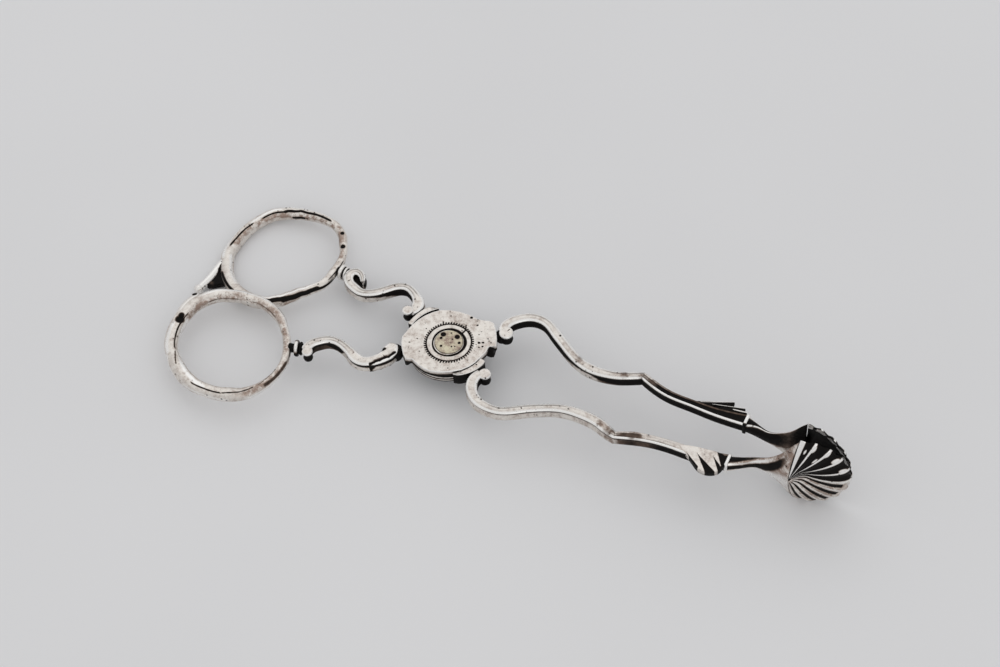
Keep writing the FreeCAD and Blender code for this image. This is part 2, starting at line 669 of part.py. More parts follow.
def finger_ring(arm, centre):
    """An oval ring of round wire, stoutest at the back."""
    long_half = size(arm + "_ring_long")
    short_half = size(arm + "_ring_short")
    turn = math.radians(size(arm + "_ring_tilt"))
    rear = size("ring_wire_rear")
    front = size("ring_wire_front")
    count = 20
    halves = []
    for first in (0, count // 2):
        sections = []
        for step in range(first, first + count // 2 + 1):
            angle = 2 * math.pi * step / count
            along = Vector(math.cos(turn), math.sin(turn), 0) * long_half
            across = Vector(-math.sin(turn), math.cos(turn), 0) * short_half
            point = along * math.cos(angle) + across * math.sin(angle)
            tangent = across * math.cos(angle) - along * math.sin(angle)
            frontness = (1 + point.x / long_half) / 2.0
            wire = rear + (front - rear) * frontness
            circle = Part.makeCircle(wire, centre + point, tangent)
            sections.append(Part.Wire([circle]))
        halves.append(Part.makeLoft(sections, True, False))
    return halves[0].fuse(halves[1])


def ring_stop(centre, points, ring):
    """The stop at the back of a ring: a tapered, bent spur with a knob, let into the wire."""
    base, bend, tip = [centre + point for point in points]
    thick = size("stop_base_radius")
    thin = size("stop_tip_radius")
    rise = bend - base
    run = tip - bend
    spur = Part.makeCylinder(thick, rise.Length, base, rise)
    reach = Part.makeCone(thick, thin, run.Length, bend, run)
    elbow = Part.makeSphere(thick, bend)
    knob = Part.makeSphere(size("stop_knob_radius"), tip)
    return spur.fuse([reach, elbow, knob]).removeSplitter().cut(ring)


def collar(arm, root, length, ring, bar_shape):
    """The turned collar between a ring and its scroll: one band and one smaller bead."""
    neck_radius = size("collar_neck_radius")
    band = size("collar_band_radius")
    bead = size("collar_bead_radius")
    width = size("collar_band_width")
    bead_width = size("collar_bead_width")
    gap = size("collar_groove_width")
    bearing = math.radians(size(arm + "_collar_bearing"))
    direction = Vector(math.cos(bearing), math.sin(bearing), 0)
    start = Vector(root[0], root[1], MID_Z)
    first = length - gap - bead_width - width
    core = Part.makeCylinder(neck_radius, length + COLLAR_OVERLAP, start, direction)
    bands = []
    for radius, offset, breadth in ((band, first, width), (bead, first + width + gap, bead_width)):
        place = start + direction * offset
        disc = Part.makeCylinder(radius, breadth, place, direction)
        bands.append(disc.makeFillet(0.45 * breadth, [e for e in disc.Edges if e.Closed]))
    return core.fuse(bands).cut(ring.fuse(bar_shape))


# ----------------------------------------------------------------------- assembly
parts = joint_plates()
parts.append(pivot_pin())
parts.append(pivot_rosette())

top_scroll = scroll(TOP_HANDLE, TOP_HANDLE_EYE, TOP_HANDLE_FOOT, "top_rear")
top_centre = ring_centre("top", TOP_COLLAR_ROOT, 1.0)
top_ring = finger_ring("top", top_centre)
parts.append(add_shape("top_finger_ring", top_ring))
parts.append(add_shape("top_ring_stop", ring_stop(top_centre, TOP_STOP, top_ring)))
top_collar = collar("top", TOP_COLLAR_ROOT, TOP_COLLAR_LENGTH, top_ring, top_scroll)
parts.append(add_shape("top_collar", top_collar))
parts.append(add_shape("top_handle_scroll", top_scroll))
top_knuckle = (size("knuckle_x"), TOP_KNUCKLE_Y, KNUCKLE_WIDTH)
top_upper = scroll(TOP_SHANK, TOP_SHANK_EYE, TOP_SHANK_FOOT, "top_front", top_knuckle)
parts.append(add_shape("top_upper_shank", top_upper))
parts.append(add_shape(
    "top_lower_shank", lower_shank(TOP_LOWER, TOP_KNUCKLE_Y, TOP_BAND_Y, TOP_SIDE)))
parts.append(add_shape("top_neck", neck(TOP_BAND_Y, TOP_SIDE)))
parts.append(add_shape("top_shell_bowl", shell_bowl(TOP_SIDE)))

under_scroll = scroll(UNDER_HANDLE, UNDER_HANDLE_EYE, UNDER_HANDLE_FOOT, "under_rear")
under_centre = ring_centre("under", UNDER_COLLAR_ROOT, -1.0)
under_ring = finger_ring("under", under_centre)
parts.append(add_shape("under_finger_ring", lowered(under_ring)))
under_stop = ring_stop(under_centre, UNDER_STOP, under_ring)
parts.append(add_shape("under_ring_stop", lowered(under_stop)))
under_collar = collar(
    "under", UNDER_COLLAR_ROOT, UNDER_COLLAR_LENGTH, under_ring, under_scroll)
parts.append(add_shape("under_collar", lowered(under_collar)))
lowered_scroll = lowered(bar(UNDER_HANDLE, size("bar_height"), size("bar_bevel")))
lowered_scroll = lowered_scroll.fuse([
    eye(UNDER_HANDLE_EYE, size("bar_height"), size("bar_bevel")), foot(UNDER_HANDLE_FOOT)])
parts.append(add_shape(
    "under_handle_scroll", lowered_scroll.cut(shoulder_space("under_rear"))))
under_knuckle = (size("knuckle_x"), UNDER_KNUCKLE_Y, KNUCKLE_WIDTH)
under_upper = scroll(
    UNDER_SHANK, UNDER_SHANK_EYE, UNDER_SHANK_FOOT, "under_front", under_knuckle)
parts.append(add_shape("under_upper_shank", under_upper))
parts.append(add_shape(
    "under_lower_shank",
    lower_shank(UNDER_LOWER, UNDER_KNUCKLE_Y, UNDER_BAND_Y, UNDER_SIDE)))
parts.append(add_shape("under_neck", neck(UNDER_BAND_Y, UNDER_SIDE)))
parts.append(add_shape("under_shell_bowl", shell_bowl(UNDER_SIDE)))

# ------------------------------------------------------------ checks, then files
doc.recompute()
for item in doc.Objects:
    if "Invalid" in item.State or "Error" in item.State:
        raise RuntimeError("failed object: " + item.Label)
for item in parts:
    if item.Shape.isNull() or not item.Shape.isValid():
        raise RuntimeError("bad shape: " + item.Label)
os.makedirs("parts", exist_ok=True)
for item in parts:
    box = item.Shape.optimalBoundingBox(False, False)
    print("%-22s solids %d volume %8.2f  x %.1f %.1f  y %.1f %.1f  z %.1f %.1f" % (
        item.Label, len(item.Shape.Solids), item.Shape.Volume,
        box.XMin, box.XMax, box.YMin, box.YMax, box.ZMin, box.ZMax))
    item.Shape.exportStep(os.path.join("parts", item.Label + ".step"))
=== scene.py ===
"""Silver sugar nippers: the looks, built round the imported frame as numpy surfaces."""

import math

import bmesh
import bpy
import numpy as np
from mathutils import Matrix, Vector


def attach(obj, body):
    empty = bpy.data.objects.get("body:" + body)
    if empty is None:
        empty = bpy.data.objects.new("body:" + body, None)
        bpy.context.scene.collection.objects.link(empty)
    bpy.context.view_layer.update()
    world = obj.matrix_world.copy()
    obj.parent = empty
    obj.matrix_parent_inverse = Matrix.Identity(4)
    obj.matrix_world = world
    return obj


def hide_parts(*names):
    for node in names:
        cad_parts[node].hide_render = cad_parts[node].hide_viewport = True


bl_info = {
    "name": "Silver Sugar Nippers",
    "version": (1, 0, 0),
    "blender": (4, 5, 0),
    "location": "View3D > Sidebar > Nippers",
    "description": "Builds scissor-action silver sugar nippers round their packed frame",
    "category": "Object",
}

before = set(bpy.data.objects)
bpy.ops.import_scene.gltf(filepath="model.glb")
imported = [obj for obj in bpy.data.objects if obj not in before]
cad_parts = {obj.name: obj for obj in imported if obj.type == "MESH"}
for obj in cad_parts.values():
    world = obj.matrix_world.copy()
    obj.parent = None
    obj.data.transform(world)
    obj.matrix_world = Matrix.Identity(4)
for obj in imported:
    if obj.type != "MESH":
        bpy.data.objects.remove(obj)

MM = 0.001
MERGE = 1.0e-7
TURN = 2.0 * math.pi
MID_Z = 1.4
TOP_Z = 2.8
LAYER_GAP = 0.04
HANDLE_SET = -3.4
HANDLE_HINGE_X = -7.0
ENGRAVED = np.array([0.5, -0.3])
# Marks on each point: the first is black patina with painted shade and dark reflection, the second
# painted highlight and polish, the third brown stain.
MARKS = ("oxide", "polish", "warm")

# Centre lines in plan, from the joint outwards: x, y and the bar's width, in millimetres.
TOP_HANDLE = [
    (-8.35, -4.2, 2.0), (-8.3, -5.2, 2.75), (-8.5, -6.3, 2.6), (-9.3, -7.6, 2.2),
    (-10.5, -8.65, 2.0), (-11.8, -9.2, 2.0), (-13.2, -9.0, 2.1), (-14.7, -8.2, 1.8),
    (-16.2, -7.5, 1.65), (-17.7, -7.1, 1.6), (-19.2, -7.25, 1.65), (-20.6, -8.1, 1.75),
    (-21.7, -9.3, 1.8), (-22.0, -10.5, 1.9),
]
TOP_SHANK = [
    (8.2, 5.8, 2.1), (8.0, 6.7, 2.0), (8.4, 7.9, 1.9), (9.4, 9.0, 1.85), (10.9, 10.0, 1.8),
    (12.7, 10.4, 1.75), (14.8, 9.9, 1.75), (16.7, 8.6, 1.85), (18.5, 7.3, 1.8),
    (20.5, 5.9, 1.8), (22.6, 4.7, 1.8), (25.0, 4.0, 1.9), (27.6, 3.95, 1.8),
    (30.1, 4.4, 1.7), (32.2, 5.2, 1.6), (34.0, 5.95, 1.5),
]
UNDER_HANDLE = [
    (-8.2, 3.7, 1.7), (-7.95, 4.9, 2.3), (-8.4, 6.2, 2.1), (-9.15, 7.0, 1.75), (-10.1, 7.7, 1.6),
    (-11.4, 8.25, 1.55), (-12.95, 8.0, 1.6), (-14.8, 6.6, 1.65), (-16.3, 5.4, 1.65),
    (-17.65, 4.75, 1.6), (-18.95, 4.6, 1.65), (-20.1, 5.0, 1.8), (-21.3, 5.6, 1.8),
    (-22.2, 6.6, 1.85), (-22.35, 7.7, 1.8), (-21.6, 8.45, 1.6), (-20.7, 8.3, 1.4),
    (-19.95, 7.6, 1.2), (-19.55, 6.9, 0.9),
]
UNDER_SHANK = [
    (8.0, -4.0, 1.8), (7.5, -5.2, 2.0), (7.6, -6.6, 2.1), (8.4, -8.1, 2.0),
    (9.8, -9.3, 1.9), (12.0, -9.9, 1.8), (14.2, -9.8, 1.7), (16.4, -8.8, 1.75),
    (18.5, -7.6, 1.7), (20.6, -6.6, 1.65), (22.9, -5.7, 1.7), (25.4, -5.25, 1.85),
    (27.9, -5.3, 1.9), (30.4, -5.7, 1.95), (32.4, -6.5, 1.9), (34.0, -7.1, 1.5),
]
TOP_LOWER = [
    (34.0, 5.95, 1.5), (36.6, 4.9, 1.6), (39.5, 4.1, 1.6), (43.5, 3.8, 1.6),
    (47.5, 3.6, 1.8), (53.1, 3.9, 2.4),
]
UNDER_LOWER = [
    (34.0, -7.1, 1.5), (36.6, -6.2, 1.8), (39.5, -5.6, 1.7), (43.5, -5.3, 1.7),
    (47.5, -5.3, 1.9), (53.1, -4.7, 2.4),
]
# Round eyes of the scrolls and the soldered feet beside the joint: x, y, radius.
TOP_SHANK_EYE = (8.75, 5.45, 1.25)
UNDER_SHANK_EYE = (8.85, -3.9, 1.12)
TOP_HANDLE_EYE = (-21.5, -11.0, 0.95)
UNDER_HANDLE_EYE = (-9.15, 3.5, 1.0)
TOP_HANDLE_FOOT = (-7.75, -4.75, 1.35)
TOP_SHANK_FOOT = (7.9, 5.3, 1.0)
UNDER_HANDLE_FOOT = (-7.7, 4.2, 1.05)
UNDER_SHANK_FOOT = (7.45, -4.5, 1.1)

# A bar's section from its top middle, down one side, to its bottom middle: share of the half
# width kept flat, inward from the side, below the top, share of the edge's painted highlight.
BAR_SECTION = np.array([
    (1.0, 0.0, -0.03, 0.0), (0.6, 0.0, -0.02, 0.0), (0.25, 0.30, 0.0, 0.1),
    (0.0, 0.40, 0.02, 0.6), (0.0, 0.28, 0.06, 1.0), (0.0, 0.15, 0.14, 1.0),
    (0.0, 0.06, 0.26, 0.7), (0.0, 0.03, 0.38, 0.1), (0.0, 0.09, 0.52, 0.0),
    (0.0, 0.17, 0.70, 0.0), (0.0, 0.21, 0.90, 0.0), (0.0, 0.19, 1.12, 0.0),
    (0.0, 0.11, 1.34, 0.0), (0.0, 0.03, 1.56, 0.0), (0.0, 0.0, 1.78, 0.0),
    (0.0, 0.04, 2.00, 0.3), (0.0, 0.16, 2.22, 0.6), (0.0, 0.36, 2.42, 0.5),
    (0.0, 0.62, 2.56, 0.0), (0.6, 0.0, 2.60, 0.0), (1.0, 0.0, 2.60, 0.0),
])
# The flat round end of a scroll, the same way, with a painted highlight round its rim.
EYE_SECTION = np.array([
    (1.0, 0.0, -0.03, 0.0), (0.5, 0.0, -0.02, 0.0), (0.0, 0.26, -0.01, 0.1),
    (0.0, 0.14, 0.02, 0.7), (0.0, 0.05, 0.09, 1.0), (0.0, 0.0, 0.20, 1.0), (0.0, 0.0, 0.34, 0.2),
    (0.0, 0.10, 0.52, 0.0), (0.0, 0.22, 0.80, 0.0), (0.0, 0.26, 1.12, 0.0), (0.0, 0.20, 1.5, 0.0),
    (0.0, 0.10, 1.9, 0.0), (0.0, 0.20, 2.3, 0.0), (0.0, 0.62, 2.56, 0.0), (0.6, 0.0, 2.60, 0.0),
    (1.0, 0.0, 2.60, 0.0),
])
SECTION_HEIGHT = 2.6
SIDE_TOP = 0.34
SIDE_RUN = 1.75


# ------------------------------------------------------------------ numbers and curves
def through(rows, count):
    """Natural cubic spline through rows of numbers, knots spaced by the plan distance."""
    points = np.asarray(rows, float)
    knots = np.r_[0.0, np.cumsum(np.hypot(*np.diff(points[:, :2], axis=0).T))]
    size = len(points)
    step = np.diff(knots)
    matrix = np.eye(size)
    inner = np.arange(1, size - 1)
    matrix[inner, inner - 1] = step[:-1]
    matrix[inner, inner] = 2.0 * (step[:-1] + step[1:])
    matrix[inner, inner + 1] = step[1:]
    slope = np.diff(points, axis=0) / step[:, None]
    right = np.zeros_like(points)
    right[1:-1] = 6.0 * np.diff(slope, axis=0)
    bend = np.linalg.solve(matrix, right)
    run = np.linspace(0.0, knots[-1], count)
    cell = np.clip(np.searchsorted(knots, run, side="right") - 1, 0, size - 2)
    u = (run - knots[cell])[:, None]
    w = step[cell][:, None]
    linear = slope[cell] - w * (2.0 * bend[cell] + bend[cell + 1]) / 6.0
    cubic = (bend[cell + 1] - bend[cell]) / (6.0 * w)
    return points[cell] + u * linear + u * u * bend[cell] / 2.0 + u ** 3 * cubic


def unit(vectors):
    """Each vector divided by its own length."""
    return vectors / np.maximum(np.linalg.norm(vectors, axis=-1, keepdims=True), 1e-9)


def smooth(low, high, value):
    """Smoothstep from 0 at low to 1 at high."""
    t = np.clip((value - low) / (high - low), 0.0, 1.0)
    return t * t * (3.0 - 2.0 * t)


def to_segment(points, start, end):
    """Distance from points to a segment, and the share along it, in as many axes as given."""
    start = np.asarray(start, float)
    run = np.asarray(end, float) - start
    axes = len(start)
    offset = points[..., :axes] - start
    share = np.clip((offset @ run) / max(run @ run, 1e-9), 0.0, 1.0)
    return np.linalg.norm(offset - share[..., None] * run, axis=-1), share


def no_marks(points):
    """A set of marks, all nought, for a grid of points."""
    return {name: np.zeros(points.shape[:2]) for name in MARKS}


def darken(marks, amount, name="oxide"):
    """Raise a mark to at least an amount."""
    marks[name] = np.maximum(marks[name], amount)


def spot(points, marks, spots):
    """Small pits: inside a spot's radius the surface sinks by its depth and turns dark."""
    for x, y, z, radius, depth in spots:
        away = np.linalg.norm(points - np.array([x, y, z]), axis=-1)
        inside = 1.0 - smooth(0.45 * radius, radius, away)
        darken(marks, inside)
        marks["polish"] = marks["polish"] * (1.0 - inside)
        points = points - np.array([0.0, 0.0, depth]) * inside[..., None]
    return points


def scratch(points, marks, lines):
    """Short plan strokes: each sinks by its depth along a segment, and turns dark."""
    for x0, y0, x1, y1, width, depth, dark in lines:
        away, _ = to_segment(points, (x0, y0), (x1, y1))
        inside = 1.0 - smooth(0.3 * width, width, away)
        darken(marks, dark * inside)
        points = points - np.array([0.0, 0.0, depth]) * inside[..., None]
    return points


# ------------------------------------------------------------------------ mesh making
def signed_volume(grid, wrap_rows):
    """Volume inside a grid of points closed round its columns, from triangles to the origin."""
    after = np.roll(grid, -1, axis=1)
    here = grid if wrap_rows else grid[:-1]
    side = after if wrap_rows else after[:-1]
    down = np.roll(grid, -1, axis=0) if wrap_rows else grid[1:]
    corner = np.roll(after, -1, axis=0) if wrap_rows else after[1:]
    first = np.sum(here * np.cross(side, corner))
    second = np.sum(here * np.cross(corner, down))
    return (first + second) / 6.0


def grid_faces(rows, columns, wrap_rows, wrap_columns, offset):
    """Quads of a grid, each as four vertex numbers."""
    number = np.arange(rows * columns).reshape(rows, columns) + offset
    down = np.roll(number, -1, axis=0)
    side = np.roll(number, -1, axis=1)
    corner = np.roll(side, -1, axis=0)
    quads = np.stack([number, side, corner, down], axis=-1)
    if not wrap_rows:
        quads = quads[:-1]
    if not wrap_columns:
        quads = quads[:, :-1]
    return quads.reshape(-1, 4)


def make_piece(name, grids, material):
    """One mesh from closed grids: each is turned outwards, then doubled points are merged."""
    points, faces, values = [], [], {mark: [] for mark in MARKS}
    offset = 0
    for grid, marks, wrap_rows in grids:
        if signed_volume(grid - grid.mean(axis=(0, 1)), wrap_rows) < 0.0:
            grid = grid[:, ::-1]
            marks = {mark: marks[mark][:, ::-1] for mark in MARKS}
        rows, columns = grid.shape[:2]
        faces.append(grid_faces(rows, columns, wrap_rows, True, offset))
        points.append(grid.reshape(-1, 3))
        for mark in MARKS:
            values[mark].append(np.clip(marks[mark], 0.0, 1.0).reshape(-1))
        offset += rows * columns
    quads = np.concatenate(faces)
    mesh = bpy.data.meshes.new(name)
    mesh.from_pydata((np.concatenate(points) * MM).tolist(), [], quads.tolist())
    for mark in MARKS:
        layer = mesh.attributes.new(mark, "FLOAT", "POINT")
        layer.data.foreach_set("value", np.concatenate(values[mark]).astype(np.float32))
    work = bmesh.new()
    work.from_mesh(mesh)
    bmesh.ops.remove_doubles(work, verts=work.verts, dist=MERGE)
    bmesh.ops.dissolve_degenerate(work, edges=work.edges, dist=MERGE)
    work.to_mesh(mesh)
    work.free()
    mesh.polygons.foreach_set("use_smooth", np.ones(len(mesh.polygons), bool))
    mesh.materials.append(material)
    piece = bpy.data.objects.new(name, mesh)
    bpy.context.scene.collection.objects.link(piece)
    return piece


def hand_over(piece, node, body):
    """Hide the part a piece stands for, and tie the piece to its body."""
    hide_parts(node)
    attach(piece, body)


# ----------------------------------------------------------------------- swept surfaces
def loop_section(section, half, front):
    """A half section laid on both sides: across, up and polish, from the front round to back."""
    keep = np.minimum(1.0, half / 0.75)
    across = half[:, None] * (1.0 - section[:, 0]) - section[:, 1] * keep[:, None]
    across = np.maximum(across, 0.0)
    across[:, section[:, 0] == 1.0] = 0.0
    down = np.broadcast_to(section[:, 2], across.shape)
    shine = np.broadcast_to(section[:, 3], across.shape)
    far = slice(-2, 0, -1)
    across = np.concatenate([front * across, -front * across[:, far]], axis=1)
    down = np.concatenate([down, down[:, far]], axis=1)
    shine = np.concatenate([shine, shine[:, far]], axis=1)
    return across, down, shine


def capped(centre, tangent, side, half, cap):
    """Stations added past both ends, shrinking to a point over a quarter round."""
    angle = np.radians([30.0, 60.0, 80.0, 90.0])
    shrink = np.cos(angle)
    reach = np.sin(angle)[:, None]
    first = centre[:1] - tangent[:1] * reach[::-1] * cap[0]
    last = centre[-1:] + tangent[-1:] * reach * cap[1]
    scale = np.r_[shrink[::-1], np.ones(len(centre)), shrink]
    centre = np.concatenate([first, centre, last])
    side = np.concatenate([np.repeat(side[:1], 4, 0), side, np.repeat(side[-1:], 4, 0)])
    half = np.r_[np.repeat(half[:1], 4), half, np.repeat(half[-1:], 4)]
    return centre, side, half, scale


def bar_grid(line, front, tables, height=SECTION_HEIGHT, section=BAR_SECTION, cap=(0.3, 0.12),
             square_last=False, square_first=False, stations=260):
    """A bar: its section is carried along a plan spline, upright, and rounded off at the ends.

    tables holds, for the front and the back side, rows of share along the bar, share of the
    side that is black from the top down, how black that is, and how black the rest is. This
    black is patina with painted shade and dark reflection; the underside is painted as shade.
    """
    rows = through(line, stations)
    centre = np.column_stack([rows[:, :2], np.full(stations, MID_Z)])
    tangent = unit(np.gradient(centre, axis=0))
    run = np.r_[0.0, np.cumsum(np.linalg.norm(np.diff(centre, axis=0), axis=1))]
    ends = np.zeros(stations)
    if square_last:
        ends = np.maximum(ends, 1.0 - smooth(0.0, 1.0, run[-1] - run))
    if square_first:
        ends = np.maximum(ends, 1.0 - smooth(0.0, 1.0, run))
    tangent = unit(tangent * (1.0 - ends[:, None]) + np.array([1.0, 0.0, 0.0]) * ends[:, None])
    side = np.column_stack([-tangent[:, 1], tangent[:, 0], np.zeros(stations)])
    share = np.r_[np.zeros(4), run / run[-1], np.ones(4)]
    half = rows[:, 2] / 2.0
    centre, side, half, scale = capped(centre, tangent, side, half, cap)
    across, down, shine = loop_section(section, half, front)
    lift = height / 2.0 - down * (height / SECTION_HEIGHT)
    across = across * scale[:, None]
    lift = lift * scale[:, None] ** 0.5
    points = centre[:, None, :] + side[:, None, :] * across[..., None]
    points[..., 2] += lift
    marks = no_marks(points)
    # Painted highlight along the edges of the section.
    marks["polish"] = shine * np.ones_like(lift)
    columns = across.shape[1]
    middle = len(section) - 1
    is_front = (np.arange(columns) <= middle)[None, :]
    q = (down - SIDE_TOP) / SIDE_RUN
    # Sides painted black from the tables: patina with painted shade and dark reflection.
    for on_side, table in zip((is_front, ~is_front), tables):
        table = np.asarray(table, float)
        split, upper, lower = (
            np.interp(share, table[:, 0], table[:, k])[:, None] for k in (1, 2, 3))
        black = lower + (upper - lower) * (1.0 - smooth(split - 0.08, split + 0.08, q))
        black = black * smooth(-0.05, 0.03, q)
        darken(marks, np.where(on_side, black, 0.0))
    # Painted shade on the underside.
    under = smooth(0.95, 1.15, q)
    marks["oxide"] = marks["oxide"] * (1.0 - under) + 0.35 * under
    return points, marks, share


def lathe(profile, columns=64):
    """A profile of radius and height turned round the z axis; its ends lie on the axis."""
    angle = np.linspace(0.0, TURN, columns, endpoint=False)
    radius = profile[:, 0][:, None]
    return np.stack([
        radius * np.cos(angle), radius * np.sin(angle),
        np.broadcast_to(profile[:, 1][:, None], (len(profile), columns)),
    ], axis=-1)


def eye_grid(plan, height=SECTION_HEIGHT, dark=0.95):
    """The round end of a scroll: the eye's half section turned about its own middle."""
    x, y, radius = plan
    keep = min(1.0, radius / 0.75)
    reach = np.maximum(radius * (1.0 - EYE_SECTION[:, 0]) - EYE_SECTION[:, 1] * keep, 0.0)
    reach[EYE_SECTION[:, 0] == 1.0] = 0.0
    up = height / 2.0 - EYE_SECTION[:, 2] * height / SECTION_HEIGHT
    points = lathe(np.column_stack([reach, up])) + np.array([x, y, MID_Z])
    marks = no_marks(points)
    # Painted highlight round the rim, painted shade down the side below it.
    marks["polish"] = np.broadcast_to(EYE_SECTION[:, 3][:, None], points.shape[:2]).copy()
    darken(marks, (dark * smooth(0.3, 0.45, EYE_SECTION[:, 2]))[:, None])
    return points, marks


def foot_grid(plan, drop=0.6):
    """The soldered foot between a scroll and its shoulder: a low drum, painted black all over as shade.
    """
    x, y, radius = plan
    top = SECTION_HEIGHT / 2.0 - drop
    bottom = -SECTION_HEIGHT / 2.0
    profile = np.array([
        (0.0, top), (radius - 0.25, top), (radius - 0.07, top - 0.07), (radius, top - 0.25),
        (radius, bottom + 0.4), (radius - 0.12, bottom + 0.12), (radius - 0.4, bottom),
        (0.0, bottom),
    ])
    points = lathe(profile, 48) + np.array([x, y, MID_Z])
    marks = no_marks(points)
    # Painted shade: the whole foot black.
    darken(marks, 1.0)
    return points, marks


def tube_grid(rows, columns=28, stations=120, cap=0.5):
    """A round tube through rows of x, y, z and radius, its ends rounded off."""
    line = through(np.asarray(rows, float), stations)
    centre = line[:, :3]
    tangent = unit(np.gradient(centre, axis=0))
    side = unit(np.cross(np.array([0.0, 0.0, 1.0]), tangent))
    centre, side, radius, scale = capped(
        centre, tangent, side, line[:, 3], (cap * line[0, 3], cap * line[-1, 3]))
    tangent = np.concatenate([np.repeat(tangent[:1], 4, 0), tangent, np.repeat(tangent[-1:], 4, 0)])
    up = np.cross(tangent, side)
    angle = np.linspace(0.0, TURN, columns, endpoint=False)
    reach = (radius * scale)[:, None, None]
    across = side[:, None, :] * np.cos(angle)[None, :, None]
    upward = up[:, None, :] * np.sin(angle)[None, :, None]
    points = centre[:, None, :] + reach * (across + upward)
    return points, no_marks(points)


def lowered(points):
    """The under arm's handle, turned down by its set about a line beside the joint."""
    turn = math.radians(HANDLE_SET)
    run = points[..., 0] - HANDLE_HINGE_X
    rise = points[..., 2] - MID_Z
    moved = points.copy()
    moved[..., 0] = run * math.cos(turn) + rise * math.sin(turn) + HANDLE_HINGE_X
    moved[..., 2] = rise * math.cos(turn) - run * math.sin(turn) + MID_Z
    return moved


# ------------------------------------------------------------------------ joint plates
# Outline of the engraved plate in plan, anticlockwise.
TOP_OUTLINE = [
    (6.95, -0.9), (7.3, 0.3), (7.28, 1.3), (7.42, 1.72), (7.9, 1.78), (8.3, 1.75), (8.4, 2.25),
    (7.85, 3.6), (7.0, 5.15), (6.05, 6.45), (5.2, 6.6), (4.2, 6.32), (3.1, 6.2), (1.4, 6.5),
    (-0.5, 6.5), (-2.25, 6.18), (-3.7, 5.6), (-4.8, 4.7), (-5.8, 3.5), (-6.5, 2.2),
    (-7.0, 0.95), (-7.2, 0.05), (-7.42, -1.15), (-7.6, -2.1), (-7.2, -3.35), (-6.65, -4.3),
    (-5.75, -5.6), (-5.05, -6.2), (-4.45, -6.1), (-4.0, -5.85), (-3.2, -6.25), (-2.4, -6.6),
    (-1.2, -6.95), (0.0, -7.0), (1.3, -6.75), (2.5, -6.25), (3.7, -5.6), (4.9, -4.75),
    (5.9, -3.55), (6.45, -2.5),
]


def polar_outline(outline, columns):
    """Reach of an outline from the engraved centre, for each bearing of the columns."""
    points = np.asarray(outline, float)
    closed = np.concatenate([points[-3:], points, points[:4]])
    curve = resampled(closed, 4000)
    away = curve - ENGRAVED
    bearing = np.unwrap(np.arctan2(away[:, 1], away[:, 0]))
    reach = np.linalg.norm(away, axis=1)
    order = np.argsort(bearing)
    wanted = np.linspace(0.0, TURN, columns, endpoint=False)
    low = bearing[order][len(order) // 8]
    return np.interp((wanted - low) % TURN + low, bearing[order], reach[order])


def resampled(points, count):
    """Points spaced evenly along a chain, its corners rounded by a running mean."""
    run = np.r_[0.0, np.cumsum(np.hypot(*np.diff(points, axis=0).T))]
    wanted = np.linspace(0.0, run[-1], count)
    chain = np.column_stack([np.interp(wanted, run, points[:, k]) for k in (0, 1)])
    width = 31
    kernel = np.hanning(width)
    kernel = kernel / kernel.sum()
    padded = np.pad(chain, ((width // 2, width // 2), (0, 0)), mode="edge")
    return np.column_stack([np.convolve(padded[:, k], kernel, mode="valid") for k in (0, 1)])


PLATE_PITS = [
    (1.95, 6.0, TOP_Z, 0.34, 0.05), (-2.2, 3.3, TOP_Z, 0.20, 0.04), (5.35, 1.55, TOP_Z, 0.31, 0.06),
    (6.0, 1.85, TOP_Z, 0.27, 0.05), (6.25, 1.05, TOP_Z, 0.24, 0.05), (5.75, 0.65, TOP_Z, 0.17, 0.04),
    (5.1, 1.05, TOP_Z, 0.14, 0.03), (0.9, -4.75, TOP_Z, 0.17, 0.03), (-3.4, -3.9, TOP_Z, 0.14, 0.03),
    (3.9, -3.6, TOP_Z, 0.13, 0.03), (-4.9, -1.6, TOP_Z, 0.13, 0.03), (-1.5, 5.0, TOP_Z, 0.14, 0.03),
    (3.6, 4.9, TOP_Z, 0.22, 0.04), (-4.3, 0.9, TOP_Z, 0.14, 0.03), (4.6, 3.1, TOP_Z, 0.14, 0.03),
    (-5.8, -2.8, TOP_Z, 0.14, 0.03), (2.6, -5.3, TOP_Z, 0.14, 0.03),
]
PLATE_WEAR = [
    (1.75, 4.15, 2.1, 3.1, 0.16, 0.04, 0.9), (2.1, 3.1, 1.9, 2.5, 0.22, 0.05, 0.9),
    (-0.6, 4.3, 1.5, 4.25, 0.07, 0.01, 0.35), (2.6, 3.3, 3.2, 2.9, 0.10, 0.02, 0.6),
    (-4.6, -4.3, -2.9, -4.9, 0.06, 0.01, 0.3), (0.3, -4.9, 2.0, -4.6, 0.06, 0.01, 0.3),
    (-2.9, 4.5, -2.4, 3.9, 0.06, 0.01, 0.3), (4.2, -2.2, 4.9, -2.6, 0.07, 0.01, 0.35),
]


def engraved_face(points, marks):
    """Two circles cut round the rosette: a plain groove, and one milled in short ticks."""
    away = points[..., :2] - ENGRAVED
    radius = np.linalg.norm(away, axis=-1)
    bearing = np.arctan2(away[..., 1], away[..., 0])
    top = points[..., 2] > TOP_Z - 0.05
    wander = 2.82 + 0.03 * np.sin(3.0 * bearing + 1.0)
    thick = 0.19 + 0.06 * np.cos(bearing - 0.8) + 0.02 * np.sin(5.0 * bearing)
    hollow = np.where(top, np.exp(-(np.abs(radius - wander) / thick) ** 4), 0.0)
    darken(marks, np.clip(1.25 * hollow, 0.0, 1.0))
    tick = 0.5 + 0.5 * np.cos(56.0 * bearing + 3.0 * (radius - 3.9))
    band = smooth(3.8, 3.9, radius) * (1.0 - smooth(4.26, 4.4, radius))
    line = np.exp(-((radius - 3.92) / 0.14) ** 2)
    wear_and_shade = 0.86 + 0.14 * np.sin(2.0 * bearing - 0.6)
    milled = np.where(top, np.clip(1.3 * band * smooth(0.3, 0.55, tick) + line, 0.0, 1.0), 0.0)
    darken(marks, wear_and_shade * milled)
    points = points.copy()
    points[..., 2] -= 0.16 * hollow + 0.1 * milled
    return points


